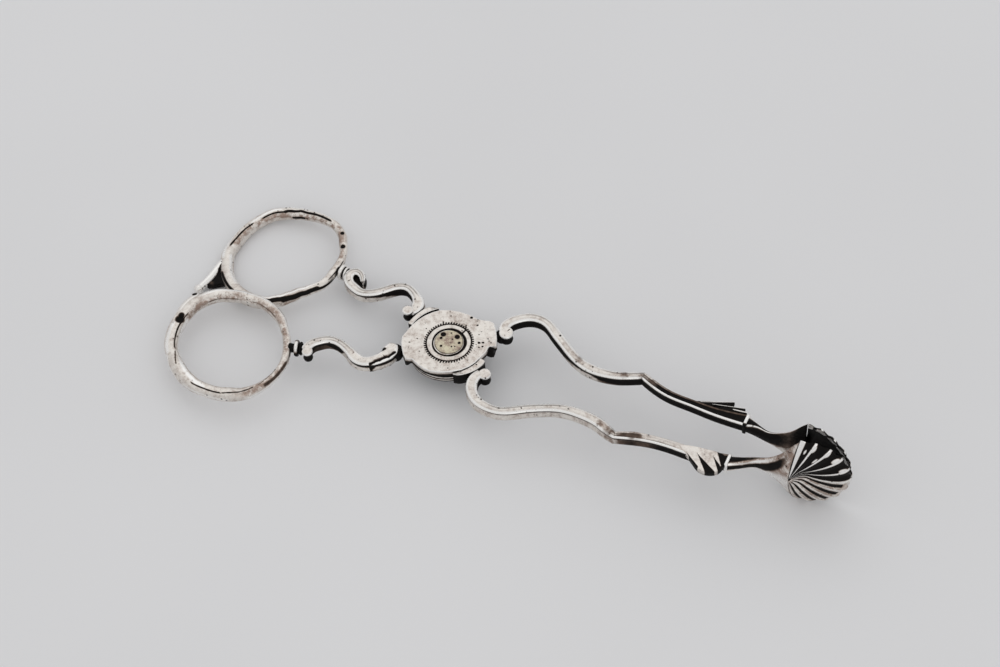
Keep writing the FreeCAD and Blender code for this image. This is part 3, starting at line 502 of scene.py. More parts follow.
def plate_grid(outline_reach, base, top, edge, engraved):
    """A plate as polar rows round the engraved centre: face, rounded edge, wall and back."""
    columns = len(outline_reach)
    bearing = np.linspace(0.0, TURN, columns, endpoint=False)
    if engraved:
        inner = np.r_[
            0.0, 1.3, 2.5, np.arange(2.55, 3.36, 0.05), 3.5, 3.6, np.arange(3.66, 4.44, 0.05), 4.5]
    else:
        inner = np.linspace(0.0, 4.5, 12)
    flat = outline_reach - edge
    reach = [np.full(columns, r) for r in inner]
    height = [np.full(columns, top) for _ in inner]
    for share in np.linspace(0.06, 1.0, 17):
        reach.append(4.5 + (flat - 4.5) * share)
        height.append(np.full(columns, top))
    for angle in np.radians([15.0, 35.0, 55.0, 75.0, 90.0]):
        reach.append(flat + edge * math.sin(angle))
        height.append(np.full(columns, top - edge * (1.0 - math.cos(angle))))
    face_rows = len(reach)
    for share in (0.3, 0.7):
        reach.append(outline_reach)
        height.append(np.full(columns, top - edge - (top - base - 1.6 * edge) * share))
    for angle in np.radians([0.0, 30.0, 60.0, 90.0]):
        reach.append(outline_reach - 0.6 * edge * (1.0 - math.cos(angle)))
        height.append(np.full(columns, base + 0.6 * edge * (1.0 - math.sin(angle))))
    for share in (0.9, 0.5, 0.0):
        reach.append((outline_reach - 0.6 * edge) * share)
        height.append(np.full(columns, base))
    reach = np.array(reach)
    points = np.stack([
        ENGRAVED[0] + reach * np.cos(bearing), ENGRAVED[1] + reach * np.sin(bearing),
        np.array(height)], axis=-1)
    marks = no_marks(points)
    rows = np.arange(len(reach))[:, None] * np.ones(columns)
    # Painted highlight along the rounded edge; the wall and back painted black as shade.
    rim = np.exp(-((rows - (face_rows - 3.5)) / 1.8) ** 2)
    marks["polish"] = rim
    darken(marks, 0.95 * smooth(face_rows - 0.5, face_rows + 1.5, rows))
    return points, marks


def shoulder_grid(inner, rows, base, top, edge=0.2):
    """A crescent beside the other plate: a bar bent round the pivot, from rows of bearing in
    degrees and outer reach."""
    stations = 90
    rows = np.array(rows, float)
    bearing = np.linspace(rows[0, 0], rows[-1, 0], stations)
    outer = np.interp(bearing, rows[:, 0], rows[:, 1])
    bearing = np.radians(bearing)
    middle = 0.5 * (inner + outer)
    half = np.maximum(0.5 * (outer - inner), 0.12)
    centre = np.column_stack([middle * np.cos(bearing), middle * np.sin(bearing), np.zeros(stations)])
    side = np.column_stack([np.cos(bearing), np.sin(bearing), np.zeros(stations)])
    tangent = np.column_stack([-np.sin(bearing), np.cos(bearing), np.zeros(stations)])
    centre, side, half, scale = capped(centre, tangent, side, half, (0.12, 0.12))
    section = np.array([
        (1.0, 0.0), (0.5, 0.0), (edge, 0.0), (0.4 * edge, 0.1 * edge), (0.1 * edge, 0.4 * edge),
        (0.0, edge), (0.0, 0.6), (0.0, 1.6), (0.0, top - base - edge),
        (0.3 * edge, top - base - 0.3 * edge), (edge, top - base), (1.0, top - base),
    ])
    inward = np.minimum(section[:, 0][None, :] * np.ones((len(half), 1)), half[:, None])
    inward = np.where(section[:, 0][None, :] == 0.5, 0.5 * half[:, None], inward)
    inward = np.where(section[:, 0][None, :] == 1.0, half[:, None], inward)
    across = half[:, None] - inward
    down = np.broadcast_to(section[:, 1], across.shape)
    far = slice(-2, 0, -1)
    across = np.concatenate([across, -across[:, far]], axis=1) * scale[:, None]
    down = np.concatenate([down, down[:, far]], axis=1)
    points = centre[:, None, :] + side[:, None, :] * across[..., None]
    points[..., 2] = top - down
    marks = no_marks(points)
    # Painted highlight along the top edge, painted shade down the sides.
    marks["polish"] = np.where(down < edge, smooth(0.0, 0.06, down), 0.0)
    darken(marks, smooth(0.5 * edge, 1.3 * edge, down))
    return points, marks


# Shoulders beside the plates: their inner reach, then rows of bearing and outer reach.
TOP_LUG_INNER = 6.94
UNDER_LUG_INNER = 7.05
UNDER_PLATE_REACH = 6.8
TOP_FRONT_LUG = [(10.5, 8.25), (20.0, 8.4), (30.0, 8.35), (46.0, 8.5)]
TOP_REAR_LUG = [(199.0, 7.8), (213.0, 7.7), (227.0, 7.9)]
UNDER_FRONT_LUG = [
    (303.5, 7.35), (308.0, 7.65), (313.0, 7.8), (324.0, 8.0), (334.0, 8.15), (343.0, 8.2),
    (348.0, 8.1),
]
UNDER_REAR_LUG = [
    (127.0, 7.2), (131.0, 7.45), (136.0, 7.85), (140.0, 8.05), (152.0, 7.95), (165.0, 7.88),
    (173.0, 7.9),
]


def top_plate(material):
    """The engraved plate, with the lower halves of its two shoulders."""
    columns = 900
    reach = polar_outline(TOP_OUTLINE, columns)
    points, marks = plate_grid(reach, MID_Z + LAYER_GAP / 2.0, TOP_Z, 0.2, True)
    points = engraved_face(points, marks)
    points = spot(points, marks, PLATE_PITS)
    points = scratch(points, marks, PLATE_WEAR)
    grids = [(points, marks, False)]
    for rows in (TOP_FRONT_LUG, TOP_REAR_LUG):
        lug, lug_marks = shoulder_grid(TOP_LUG_INNER, rows, 0.0, TOP_Z - 0.4)
        # Painted shade over these low shoulders beside the plate.
        darken(lug_marks, 0.9)
        grids.append((lug, lug_marks, False))
    return make_piece("top_plate", grids, material)


def under_plate(material):
    """The plain plate below, with its two full-height shoulders."""
    columns = 360
    bearing = np.linspace(0.0, TURN, columns, endpoint=False)
    direction = np.column_stack([np.cos(bearing), np.sin(bearing)])
    along = direction @ ENGRAVED
    reach = -along + np.sqrt(along ** 2 + UNDER_PLATE_REACH ** 2 - ENGRAVED @ ENGRAVED)
    points, marks = plate_grid(reach, 0.0, MID_Z - LAYER_GAP / 2.0, 0.3, False)
    height = points[..., 2]
    # Painted shade on the face and back, which lie under and between the plates; a painted sheen on the
    # wall, crossed by a darker line.
    wall = smooth(0.15, 0.3, height) * (1.0 - smooth(1.12, 1.3, height))
    marks["oxide"] = 0.9 - 0.85 * wall
    marks["polish"] = 0.4 * wall
    line = np.exp(-((height - 0.78) / 0.09) ** 2)
    darken(marks, 0.8 * line * wall)
    grids = [(points, marks, False)]
    for rows in (UNDER_FRONT_LUG, UNDER_REAR_LUG):
        grids.append((*shoulder_grid(UNDER_LUG_INNER, rows, 0.0, TOP_Z), False))
    return make_piece("under_plate", grids, material)


ROSETTE_SPOTS = [
    (-1.0, 0.75, TOP_Z + 0.3, 0.62, 0.12), (1.45, 1.15, TOP_Z + 0.3, 0.62, 0.12),
    (-1.05, -0.1, TOP_Z + 0.3, 0.34, 0.10), (2.3, 0.1, TOP_Z + 0.25, 0.34, 0.10),
    (-0.35, -1.65, TOP_Z + 0.3, 0.30, 0.10), (1.4, -1.15, TOP_Z + 0.3, 0.20, 0.06),
    (0.9, 0.35, TOP_Z + 0.3, 0.20, 0.05), (1.9, -0.9, TOP_Z + 0.25, 0.16, 0.05),
    (0.2, 1.5, TOP_Z + 0.28, 0.18, 0.05),
]


def rosette(material):
    """The domed disc over the rivet: a lathe of low crown, pitted with worn punch dots."""
    share = np.linspace(0.0, 1.0, 46)
    radius = 2.5 * share
    height = TOP_Z + 0.30 - 0.05 * share ** 2 - 0.2 * smooth(0.93, 1.0, share)
    profile = np.concatenate([
        np.column_stack([radius, height]), [(2.5, TOP_Z + 0.02), (2.4, TOP_Z), (0.0, TOP_Z)]])
    points = lathe(profile, 200)
    marks = no_marks(points)
    edge = np.linalg.norm(points[..., :2], axis=-1)
    darken(marks, 0.9 * smooth(2.42, 2.5, edge))
    darken(marks, (1.0 - smooth(0.2, 1.4, edge)) * 0.9 + 0.35, "warm")
    points = points + np.array([ENGRAVED[0], ENGRAVED[1], 0.0])
    points = spot(points, marks, ROSETTE_SPOTS)
    return make_piece("rosette", [(points, marks, False)], material)


def rivet(material):
    """The rivet: a shank through both plates and a countersunk rear head."""
    profile = np.array([
        (0.0, 0.0), (1.2, 0.0), (2.1, 0.02), (2.32, 0.08), (2.36, 0.16), (1.62, 0.72),
        (1.58, 1.4), (1.58, 2.7), (1.5, TOP_Z), (0.0, TOP_Z)])
    points = lathe(profile, 96)
    marks = no_marks(points)
    darken(marks, 0.8 * smooth(2.2, 2.36, np.linalg.norm(points[..., :2], axis=-1)))
    return make_piece("rivet", [(points, marks, False)], material)


# ------------------------------------------------------------------------------ scrolls
# A side evenly black: patina with painted shade and dark reflection.
PLAIN_SIDE = [(0.0, 0.45, 0.85, 0.25), (1.0, 0.45, 0.85, 0.25)]
# Front sides, towards the camera, black with patina and painted shade and dark reflection: share
# along, split, black above it, black below it.
TOP_HANDLE_FRONT = [
    (0.0, 0.5, 1.0, 0.2), (0.12, 0.5, 1.0, 0.2), (0.2, 0.45, 1.0, 0.1), (0.34, 0.42, 1.0, 0.05),
    (0.45, 0.35, 1.0, 0.1), (0.52, 0.1, 0.3, 0.1), (0.60, 0.75, 0.9, 0.2), (0.70, 0.8, 1.0, 0.4),
    (0.80, 0.35, 1.0, 0.55), (0.92, 0.4, 1.0, 0.6), (1.0, 0.8, 1.0, 0.8),
]
TOP_SHANK_FRONT = [
    (0.0, 0.9, 1.0, 0.9), (0.1, 0.95, 1.0, 0.9), (0.4, 0.95, 1.0, 0.9), (0.52, 0.7, 1.0, 0.3),
    (0.62, 0.45, 1.0, 0.1), (0.7, 0.3, 1.0, 0.1), (0.78, 0.65, 1.0, 0.4), (1.0, 0.95, 1.0, 0.9),
]
UNDER_HANDLE_FRONT = [
    (0.0, 0.9, 1.0, 0.9), (0.12, 0.95, 1.0, 0.9), (0.32, 0.9, 1.0, 0.7), (0.42, 0.6, 1.0, 0.2),
    (0.5, 0.42, 0.95, 0.1), (0.6, 0.30, 0.8, 0.06), (0.72, 0.3, 0.9, 0.1), (1.0, 0.9, 1.0, 0.9),
]
UNDER_SHANK_FRONT = [
    (0.0, 0.9, 1.0, 0.9), (0.1, 0.6, 0.9, 0.5), (0.14, 0.12, 0.3, 0.0), (0.3, 0.14, 0.8, 0.05),
    (0.45, 0.16, 1.0, 0.12), (0.6, 0.16, 1.0, 0.15), (0.85, 0.14, 0.9, 0.12), (1.0, 0.12, 0.8, 0.2),
]
# Back sides, away from the camera, painted darker as shade, the same way.
BACK_SIDE_SHADE = [
    (0.0, 0.95, 1.0, 0.9), (0.35, 0.9, 1.0, 0.8), (0.6, 0.4, 0.8, 0.2), (1.0, 0.4, 0.8, 0.2),
]

HANDLE_PITS = [
    (-13.9, -8.35, 2.72, 0.20, 0.06), (-9.6, -6.2, 2.72, 0.13, 0.05), (-8.9, -6.9, 2.72, 0.14, 0.05),
    (-12.5, -9.3, 2.72, 0.09, 0.04), (-17.4, -7.2, 2.72, 0.10, 0.04),
]
FAR_HANDLE_PITS = [
    (-21.9, 5.9, 1.9, 0.22, 0.06), (-13.6, 7.6, 2.3, 0.16, 0.05), (-15.9, 5.9, 2.1, 0.10, 0.04),
    (-10.4, 8.0, 2.5, 0.10, 0.04),
]
FAR_SHANK_PITS = [
    (8.3, 6.3, 2.72, 0.18, 0.05), (9.0, 6.1, 2.72, 0.15, 0.05), (17.7, 8.3, 2.72, 0.24, 0.07),
    (25.4, 4.3, 2.72, 0.20, 0.06), (13.0, 10.2, 2.72, 0.09, 0.04),
]
NEAR_SHANK_PITS = [
    (10.5, -9.0, 2.72, 0.22, 0.06), (14.0, -9.6, 2.72, 0.24, 0.06), (20.6, -6.4, 2.72, 0.20, 0.06),
    (23.2, -5.5, 2.72, 0.12, 0.04), (26.0, -5.0, 2.72, 0.14, 0.04), (17.5, -8.1, 2.72, 0.12, 0.04),
]
WARM_PATCHES = {
    "far_shank": [(22.6, 5.0, 0.9), (31.0, 4.8, 1.0), (34.0, 6.0, 1.2)],
    "near_shank": [(33.0, -6.8, 1.3), (31.0, -6.0, 0.8)],
}


# A sheet painted black as shade over the floor of the far handle's curl, in plan.
CURL_SHADE_SHEET = ((-21.7, 6.5), (-21.2, 7.9), (-20.3, 8.0), (-19.5, 7.1), (-19.8, 5.6), (-20.9, 5.4))
# Cuts in plan along the near handle beside the joint, and the painted highlight along the ridge outside
# them.
HANDLE_CUTS = [
    (-10.2, -9.4, -9.0, -8.1, 0.36, 0.12, 1.0), (-9.0, -8.1, -7.9, -6.85, 0.36, 0.12, 1.0),
    (-7.9, -6.85, -7.35, -5.6, 0.34, 0.12, 1.0), (-9.9, -6.2, -9.3, -5.6, 0.42, 0.1, 1.0),
    (-10.3, -6.9, -9.5, -5.9, 0.3, 0.08, 0.9), (-20.2, -11.6, -18.9, -10.6, 0.2, 0.06, 0.9),
]
HANDLE_RIDGES = [
    ((-9.9, -9.6), (-9.3, -8.9)), ((-9.3, -8.9), (-8.3, -7.8)), ((-8.3, -7.8), (-7.3, -6.6)),
]


def tinted(points, marks, patches, strength=0.85, dark=0.35):
    """Soft brown patches in plan, each with its own reach."""
    for x, y, reach in patches:
        away = np.hypot(points[..., 0] - x, points[..., 1] - y)
        patch = np.exp(-(away / reach) ** 2)
        darken(marks, strength * patch, "warm")
        darken(marks, dark * patch)


def scroll_piece(name, material, line, front, tables, eye, foot, pits, patches=(), cuts=(),
                 ridges=(), shade_sheet=(), set_down=False, square_last=False, cap=(0.3, 0.12)):
    """A scroll: bar, round eye and the soldered foot beside its shoulder, the foot painted black as
    shade.
    """
    points, marks, _ = bar_grid(line, front, tables, square_last=square_last, cap=cap)
    points = scratch(points, marks, cuts)
    # Painted highlight along each ridge, which clears the black there.
    for start, end in ridges:
        away, _ = to_segment(points, start, end)
        line = (1.0 - smooth(0.1, 0.3, away)) * (points[..., 2] > MID_Z + 0.9)
        marks["oxide"] = marks["oxide"] * (1.0 - line)
        darken(marks, line, "polish")
    if set_down:
        points = lowered(points)
    points = spot(points, marks, pits)
    tinted(points, marks, patches)
    eye_points, eye_marks = eye_grid(eye)
    eye_points = spot(eye_points, eye_marks, pits)
    grids = [(points, marks, False), (eye_points, eye_marks, False)]
    grids.append((*foot_grid(foot), False))
    # A sheet painted black as shade, set low in the curl.
    if shade_sheet:
        floor, floor_marks = slab_grid(list(shade_sheet), 1.9, 0.8)
        darken(floor_marks, 1.0)
        grids.append((lowered(floor), floor_marks, False))
    return make_piece(name, grids, material)


# -------------------------------------------------------------------------------- rings
# The hammered outline, as bearing and how far the wire stands off its oval; and the wire's
# own stoutness the same way.
TOP_RING = {
    "centre": (-34.918, -14.299), "half": (10.65, 9.8), "tilt": -46.0,
    "stand": [
        (-180, 0.5), (-160, 0.42), (-140, 0.12), (-122, 0.0), (-104, -0.14), (-86, -0.34),
        (-68, -0.24), (-50, 0.02), (-32, 0.0), (-10, 0.1), (0, 0.15), (20, 0.0), (40, 0.0),
        (58, 0.25), (80, 0.25), (100, 0.12), (114, 0.3), (130, 0.72), (150, 0.78), (165, 0.55),
        (180, 0.5)],
    "stout": [
        (-180, 1.16), (-150, 1.14), (-128, 1.3), (-110, 1.3), (-88, 1.22), (-62, 1.38),
        (-48, 1.24), (-30, 1.02), (-12, 0.92), (20, 0.95), (42, 0.88), (60, 1.08), (90, 1.04),
        (120, 1.1), (150, 1.14), (180, 1.16)],
}
UNDER_RING = {
    "centre": (-35.409, 7.815), "half": (10.7, 9.45), "tilt": 57.0,
    "stand": [
        (-180, 0.5), (-165, 0.6), (-150, 0.3), (-125, 0.3), (-100, 0.4), (-84, 0.4), (-70, -0.1),
        (-58, -0.5), (-48, -0.75), (-38, -0.5), (-20, 0.0), (0, -0.15), (24, 0.0), (36, -0.1),
        (48, 0.15), (62, 0.2), (78, 0.02), (92, 0.0), (104, 0.3), (116, 0.7), (130, 1.05),
        (144, 0.9), (160, 0.7), (180, 0.5)],
    "stout": [
        (-180, 1.08), (-140, 1.08), (-100, 1.22), (-60, 1.2), (-30, 1.08), (0, 1.0), (25, 0.9),
        (45, 1.0), (62, 0.92), (90, 1.0), (112, 1.12), (130, 1.08), (150, 1.0), (180, 1.05)],
}
WIRE_REAR = 1.14
WIRE_FRONT = 0.8


def ring_grid(ring, stations=520, columns=56):
    """An oval ring: its section, a flattened round with faint flats, follows an ellipse that
    stands off by a table of bearings."""
    long_half, short_half = ring["half"]
    turn = math.radians(ring["tilt"])
    angle = np.linspace(0.0, TURN, stations, endpoint=False)
    plan_x = long_half * math.cos(turn) * np.cos(angle) - short_half * math.sin(turn) * np.sin(angle)
    plan_y = long_half * math.sin(turn) * np.cos(angle) + short_half * math.cos(turn) * np.sin(angle)
    bearing = np.arctan2(plan_y, plan_x)
    degrees = np.degrees(bearing)
    radius = np.hypot(plan_x, plan_y) + blended(ring["stand"], degrees)
    plan_x = radius * np.cos(bearing)
    plan_y = radius * np.sin(bearing)
    centre = np.column_stack([plan_x, plan_y, np.zeros(stations)])
    step = np.roll(centre, -1, axis=0) - np.roll(centre, 1, axis=0)
    tangent = unit(step)
    outward = np.column_stack([tangent[:, 1], -tangent[:, 0], np.zeros(stations)])
    wire = WIRE_REAR + (WIRE_FRONT - WIRE_REAR) * (1.0 + plan_x / long_half) / 2.0
    around = np.linspace(0.0, TURN, columns, endpoint=False)
    c = np.cos(around)[None, :]
    s = np.sin(around)[None, :]
    power = 2.5
    reach = 1.0 / (np.abs(c) ** power + np.abs(s) ** power) ** (1.0 / power)
    size = (wire * blended(ring["stout"], degrees))[:, None] * 0.95
    flat_top = np.where(s > 0.0, 0.93, 0.97)
    facet = 1.0 + 0.018 * np.cos(5.0 * around[None, :] + 3.0 * np.sin(3.0 * bearing)[:, None])
    across = size * reach * c * facet
    up = size * reach * s * flat_top * facet
    points = centre[:, None, :] + outward[:, None, :] * across[..., None]
    points[..., 2] += up + MID_Z
    points[..., 0] += ring["centre"][0]
    points[..., 1] += ring["centre"][1]
    marks = no_marks(points)
    return points, marks, degrees[:, None], np.degrees(around)[None, :]


def blended(rows, degrees):
    """A table of bearings read with cosine blends between its rows."""
    rows = np.array(rows, float)
    cell = np.clip(np.searchsorted(rows[:, 0], degrees, side="right") - 1, 0, len(rows) - 2)
    share = (degrees - rows[cell, 0]) / (rows[cell + 1, 0] - rows[cell, 0])
    share = 0.5 - 0.5 * np.cos(math.pi * np.clip(share, 0.0, 1.0))
    return rows[cell, 1] + (rows[cell + 1, 1] - rows[cell, 1]) * share


def streaks(marks, degrees, lean, rows):
    """Streaks along a ring: mark, first bearing and lean, last bearing and lean, width in
    degrees of lean, strength. Each tapers over its last tenth."""
    for mark, start, lean_start, end, lean_end, width, strength in rows:
        share = ((degrees - start) % 360.0) / ((end - start) % 360.0)
        middle = lean_start + (lean_end - lean_start) * np.clip(share, 0.0, 1.0)
        away = np.abs((lean - middle + 180.0) % 360.0 - 180.0)
        inside = smooth(0.0, 0.12, share) * (1.0 - smooth(0.88, 1.0, share))
        line = inside * np.exp(-(away / (width * (0.35 + 0.65 * inside))) ** 4)
        if mark == "wipe":
            for name in MARKS:
                marks[name] = marks[name] * (1.0 - strength * line)
        else:
            darken(marks, strength * line, mark)


# Streaks on the wire: bright rows are painted highlights, dark rows painted shade and dark reflection,
# warm rows brown stain.
NEAR_RING_STREAKS = [
    ("polish", 176.0, 76.0, 216.0, 50.0, 16.0, 0.9), ("polish", 212.0, 40.0, 245.0, -15.0, 16.0, 0.9),
    ("oxide", 160.0, 130.0, 214.0, 120.0, 6.0, 0.85), ("oxide", 212.0, 118.0, 232.0, 82.0, 6.0, 0.6),
    ("polish", 165.0, 172.0, 205.0, 186.0, 26.0, 1.0), ("polish", 200.0, 180.0, 222.0, 148.0, 26.0, 1.0),
    ("polish", 219.0, 146.0, 246.0, 112.0, 20.0, 1.0), ("polish", 243.0, 114.0, 274.0, 80.0, 17.0, 1.0),
    ("oxide", 255.0, 70.0, 292.0, 66.0, 5.5, 0.95), ("oxide", 288.0, 66.0, 322.0, 96.0, 5.5, 0.95),
    ("polish", 246.0, 4.0, 300.0, 0.0, 16.0, 0.7), ("oxide", 322.0, 92.0, 352.0, 140.0, 6.0, 0.55),
    ("oxide", 326.0, 50.0, 364.0, 46.0, 24.0, 0.55), ("warm", 306.0, 60.0, 364.0, 80.0, 40.0, 0.9),
    ("polish", 306.0, -14.0, 364.0, 4.0, 15.0, 1.0), ("warm", 2.0, 100.0, 140.0, 140.0, 34.0, 0.9),
    ("polish", 20.0, 36.0, 150.0, 70.0, 15.0, 0.9), ("oxide", 56.0, 136.0, 96.0, 142.0, 7.0, 0.45),
    ("oxide", 104.0, 150.0, 142.0, 158.0, 7.0, 0.4), ("warm", 138.0, 150.0, 172.0, 165.0, 26.0, 1.0),
]
FAR_RING_STREAKS = [
    ("polish", 158.0, 38.0, 206.0, 62.0, 17.0, 1.0), ("polish", 118.0, 72.0, 156.0, 84.0, 12.0, 1.0),
    ("polish", 60.0, 38.0, 122.0, 52.0, 18.0, 1.0), ("polish", 14.0, -4.0, 62.0, 26.0, 16.0, 0.9),
    ("oxide", 64.0, 98.0, 106.0, 94.0, 15.0, 1.0), ("oxide", 100.0, 98.0, 120.0, 112.0, 14.0, 1.0),
    ("oxide", 114.0, 110.0, 144.0, 112.0, 9.0, 0.95), ("oxide", 150.0, 104.0, 192.0, 88.0, 9.0, 0.9),
    ("warm", 54.0, 140.0, 128.0, 150.0, 30.0, 1.0), ("warm", 122.0, 146.0, 190.0, 116.0, 26.0, 0.9),
    ("oxide", 94.0, 168.0, 110.0, 176.0, 16.0, 1.0), ("warm", 14.0, 100.0, 60.0, 110.0, 40.0, 0.9),
    ("polish", 270.0, 122.0, 292.0, 106.0, 11.0, 1.0), ("polish", 286.0, 106.0, 324.0, 98.0, 12.0, 1.0),
    ("polish", 318.0, 98.0, 356.0, 142.0, 12.0, 1.0), ("oxide", 280.0, 74.0, 298.0, 60.0, 24.0, 1.0),
    ("oxide", 290.0, 56.0, 312.0, 34.0, 28.0, 1.0), ("oxide", 304.0, 36.0, 336.0, 38.0, 28.0, 1.0),
    ("oxide", 328.0, 36.0, 352.0, -10.0, 20.0, 1.0), ("warm", 284.0, 8.0, 312.0, -10.0, 24.0, 1.0),
    ("polish", 292.0, -24.0, 346.0, -30.0, 9.0, 1.0), ("oxide", 268.0, 100.0, 286.0, 78.0, 9.0, 1.0),
    ("oxide", 344.0, 52.0, 376.0, 38.0, 6.0, 1.0), ("oxide", 346.0, -16.0, 376.0, -16.0, 10.0, 1.0),
    ("polish", 196.0, 134.0, 244.0, 138.0, 20.0, 0.9), ("oxide", 216.0, 44.0, 262.0, 56.0, 14.0, 0.9),
]
# The black hollow where the near ring's stop leaves its wire.
STOP_ROOT_PITS = [(-45.42, -13.1, 2.2, 1.1, 0.35), (-45.5, -12.2, 2.2, 0.8, 0.25)]
NEAR_RING_PITS = STOP_ROOT_PITS + [
    (-44.95, -17.2, 2.3, 0.24, 0.08), (-44.2, -19.3, 2.3, 0.18, 0.07),
    (-26.8, -7.9, 2.2, 0.22, 0.07), (-27.5, -7.0, 2.2, 0.16, 0.05), (-36.3, -23.6, 2.3, 0.2, 0.06),
]
FAR_RING_PITS = [
    (47.0, 84.0, 0.5, 0.1), (31.0, 98.0, 0.6, 0.12), (116.0, 62.0, 0.2, 0.05), (96.0, 52.0, 0.2, 0.05),
    (310.0, 20.0, 0.25, 0.05),
]


def ring_spot(points, marks, degrees, lean, rows):
    """Pits placed on a ring by bearing and lean, each with its radius and depth."""
    for place, tip, radius, depth in rows:
        row = np.argmin(np.abs((degrees[:, 0] - place + 180.0) % 360.0 - 180.0))
        column = np.argmin(np.abs(lean[0] - tip))
        points = spot(points, marks, [(*points[row, column], radius, depth)])
    return points


def top_ring(material):
    """The near ring, with painted highlights, painted shade and brown stain streaked along its wire, and
    pits.
    """
    points, marks, degrees, lean = ring_grid(TOP_RING)
    streaks(marks, degrees, lean, NEAR_RING_STREAKS)
    points = spot(points, marks, NEAR_RING_PITS)
    return make_piece("near_ring", [(points, marks, True)], material)


def under_ring(material):
    """The far ring: painted shade along its rear inner side and down the arc nearest the camera, with
    painted highlights and brown stain streaked along the wire.
    """
    points, marks, degrees, lean = ring_grid(UNDER_RING)
    points = lowered(points)
    streaks(marks, degrees, lean, FAR_RING_STREAKS)
    points = ring_spot(points, marks, degrees, lean, FAR_RING_PITS)
    return make_piece("far_ring", [(points, marks, True)], material)


def knob_grid(centre, radius):
    """A round knob: a small sphere laid out from pole to pole."""
    tilt = np.linspace(-0.5 * math.pi, 0.5 * math.pi, 25)
    profile = np.column_stack([radius * np.cos(tilt), radius * np.sin(tilt)])
    profile[[0, -1], 0] = 0.0
    points = lathe(profile, 40) + np.asarray(centre)
    return points, no_marks(points)


def slab_grid(outline, top, bottom):
    """A flat slab over a plan outline: polar rows from its middle, over the edge and back."""
    edge = resampled(np.array(outline + outline[:1], float), 160)[:-1]
    middle = edge.mean(axis=0)
    rows = [(share, top) for share in np.r_[np.linspace(0.0, 0.96, 25), 0.985]]
    rows += [
        (1.0, top - 0.12), (1.0, 0.5 * (top + bottom)), (1.0, bottom), (0.5, bottom), (0.0, bottom)]
    points = np.array([
        np.column_stack([middle + (edge - middle) * share, np.full(len(edge), height)])
        for share, height in rows])
    return points, no_marks(points)


def wedge_marks(points, marks, wedges):
    """Wedges painted black as shade in plan, each from its point to its end's middle and half width
    there.
    """
    for x0, y0, x1, y1, half in wedges:
        away, share = to_segment(points, (x0, y0), (x1, y1))
        wide = np.maximum(half * share, 0.04)
        darken(marks, 1.0 - smooth(0.8, 1.2, away / wide))


def near_stop(material):
    """The near ring's stop: a spur that leaves the wire at a tangent and ends in a curl."""
    path = [
        (-45.3, -14.2, 1.45, 0.9), (-45.9, -12.4, 1.5, 0.95), (-46.15, -10.9, 1.55, 0.9),
        (-46.05, -9.5, 1.55, 0.85), (-45.75, -8.4, 1.5, 0.85), (-45.35, -7.5, 1.45, 0.8),
    ]
    points, marks = tube_grid(path)
    points = spot(points, marks, STOP_ROOT_PITS)
    # Painted sheen over the whole spur.
    marks["polish"] += 0.5
    knob, knob_marks = knob_grid((-45.4, -7.4, 1.45), 0.95)
    # Painted highlight over the knob.
    knob_marks["polish"] += 0.8
    knob = spot(knob, knob_marks, [(-45.7, -7.1, 2.3, 0.62, 0.15), (-44.75, -7.75, 2.0, 0.6, 0.15)])
    return make_piece("near_stop", [(points, marks, False), (knob, knob_marks, False)], material)


def far_stop(material):
    """The far ring's stop: a spur, a sheet beside the wire painted black as shade, and its curl."""
    path = [
        (-45.3, 4.6, 1.4, 0.75), (-45.75, 2.6, 1.45, 0.8), (-46.0, 0.8, 1.5, 0.78),
        (-46.2, -0.9, 1.5, 0.78), (-46.6, -2.4, 1.45, 0.75), (-47.0, -3.6, 1.4, 0.7),
    ]
    points, marks = tube_grid(path)
    points = lowered(points)
    # Painted highlight along the spur, painted shade down its inner side.
    marks["polish"] += 0.9
    inward = points[..., 0] + 45.9 + 0.25 * (points[..., 1] - 1.0) * (points[..., 1] < 1.0)
    darken(marks, smooth(0.25, 0.5, inward))
    # A sheet painted black as shade beside the wire, with a brown stain and a lighter patch on it.
    shade_sheet, shade_sheet_marks = slab_grid(
        [(-45.4, 4.2), (-46.0, 0.6), (-46.6, -2.6), (-45.6, -3.0), (-43.4, -1.4), (-41.6, -0.4),
         (-43.2, 1.6), (-44.4, 3.6)], 1.75, 0.7)
    darken(shade_sheet_marks, 1.0)
    shade_sheet = lowered(shade_sheet)
    tinted(shade_sheet, shade_sheet_marks, [(-45.4, -2.2, 0.9)], 1.0, 0.0)
    shade_sheet_marks["oxide"] -= 0.45 * np.exp(-(np.hypot(shade_sheet[..., 0] + 45.3, shade_sheet[..., 1] + 2.1) / 0.8) ** 2)
    knob, knob_marks = knob_grid((-47.1, -3.9, 1.4), 0.85)
    knob = lowered(knob)
    # Painted highlight over the knob.
    knob_marks["polish"] += 0.6
    grids = [(points, marks, False), (shade_sheet, shade_sheet_marks, False), (knob, knob_marks, False)]
    return make_piece("far_stop", grids, material)


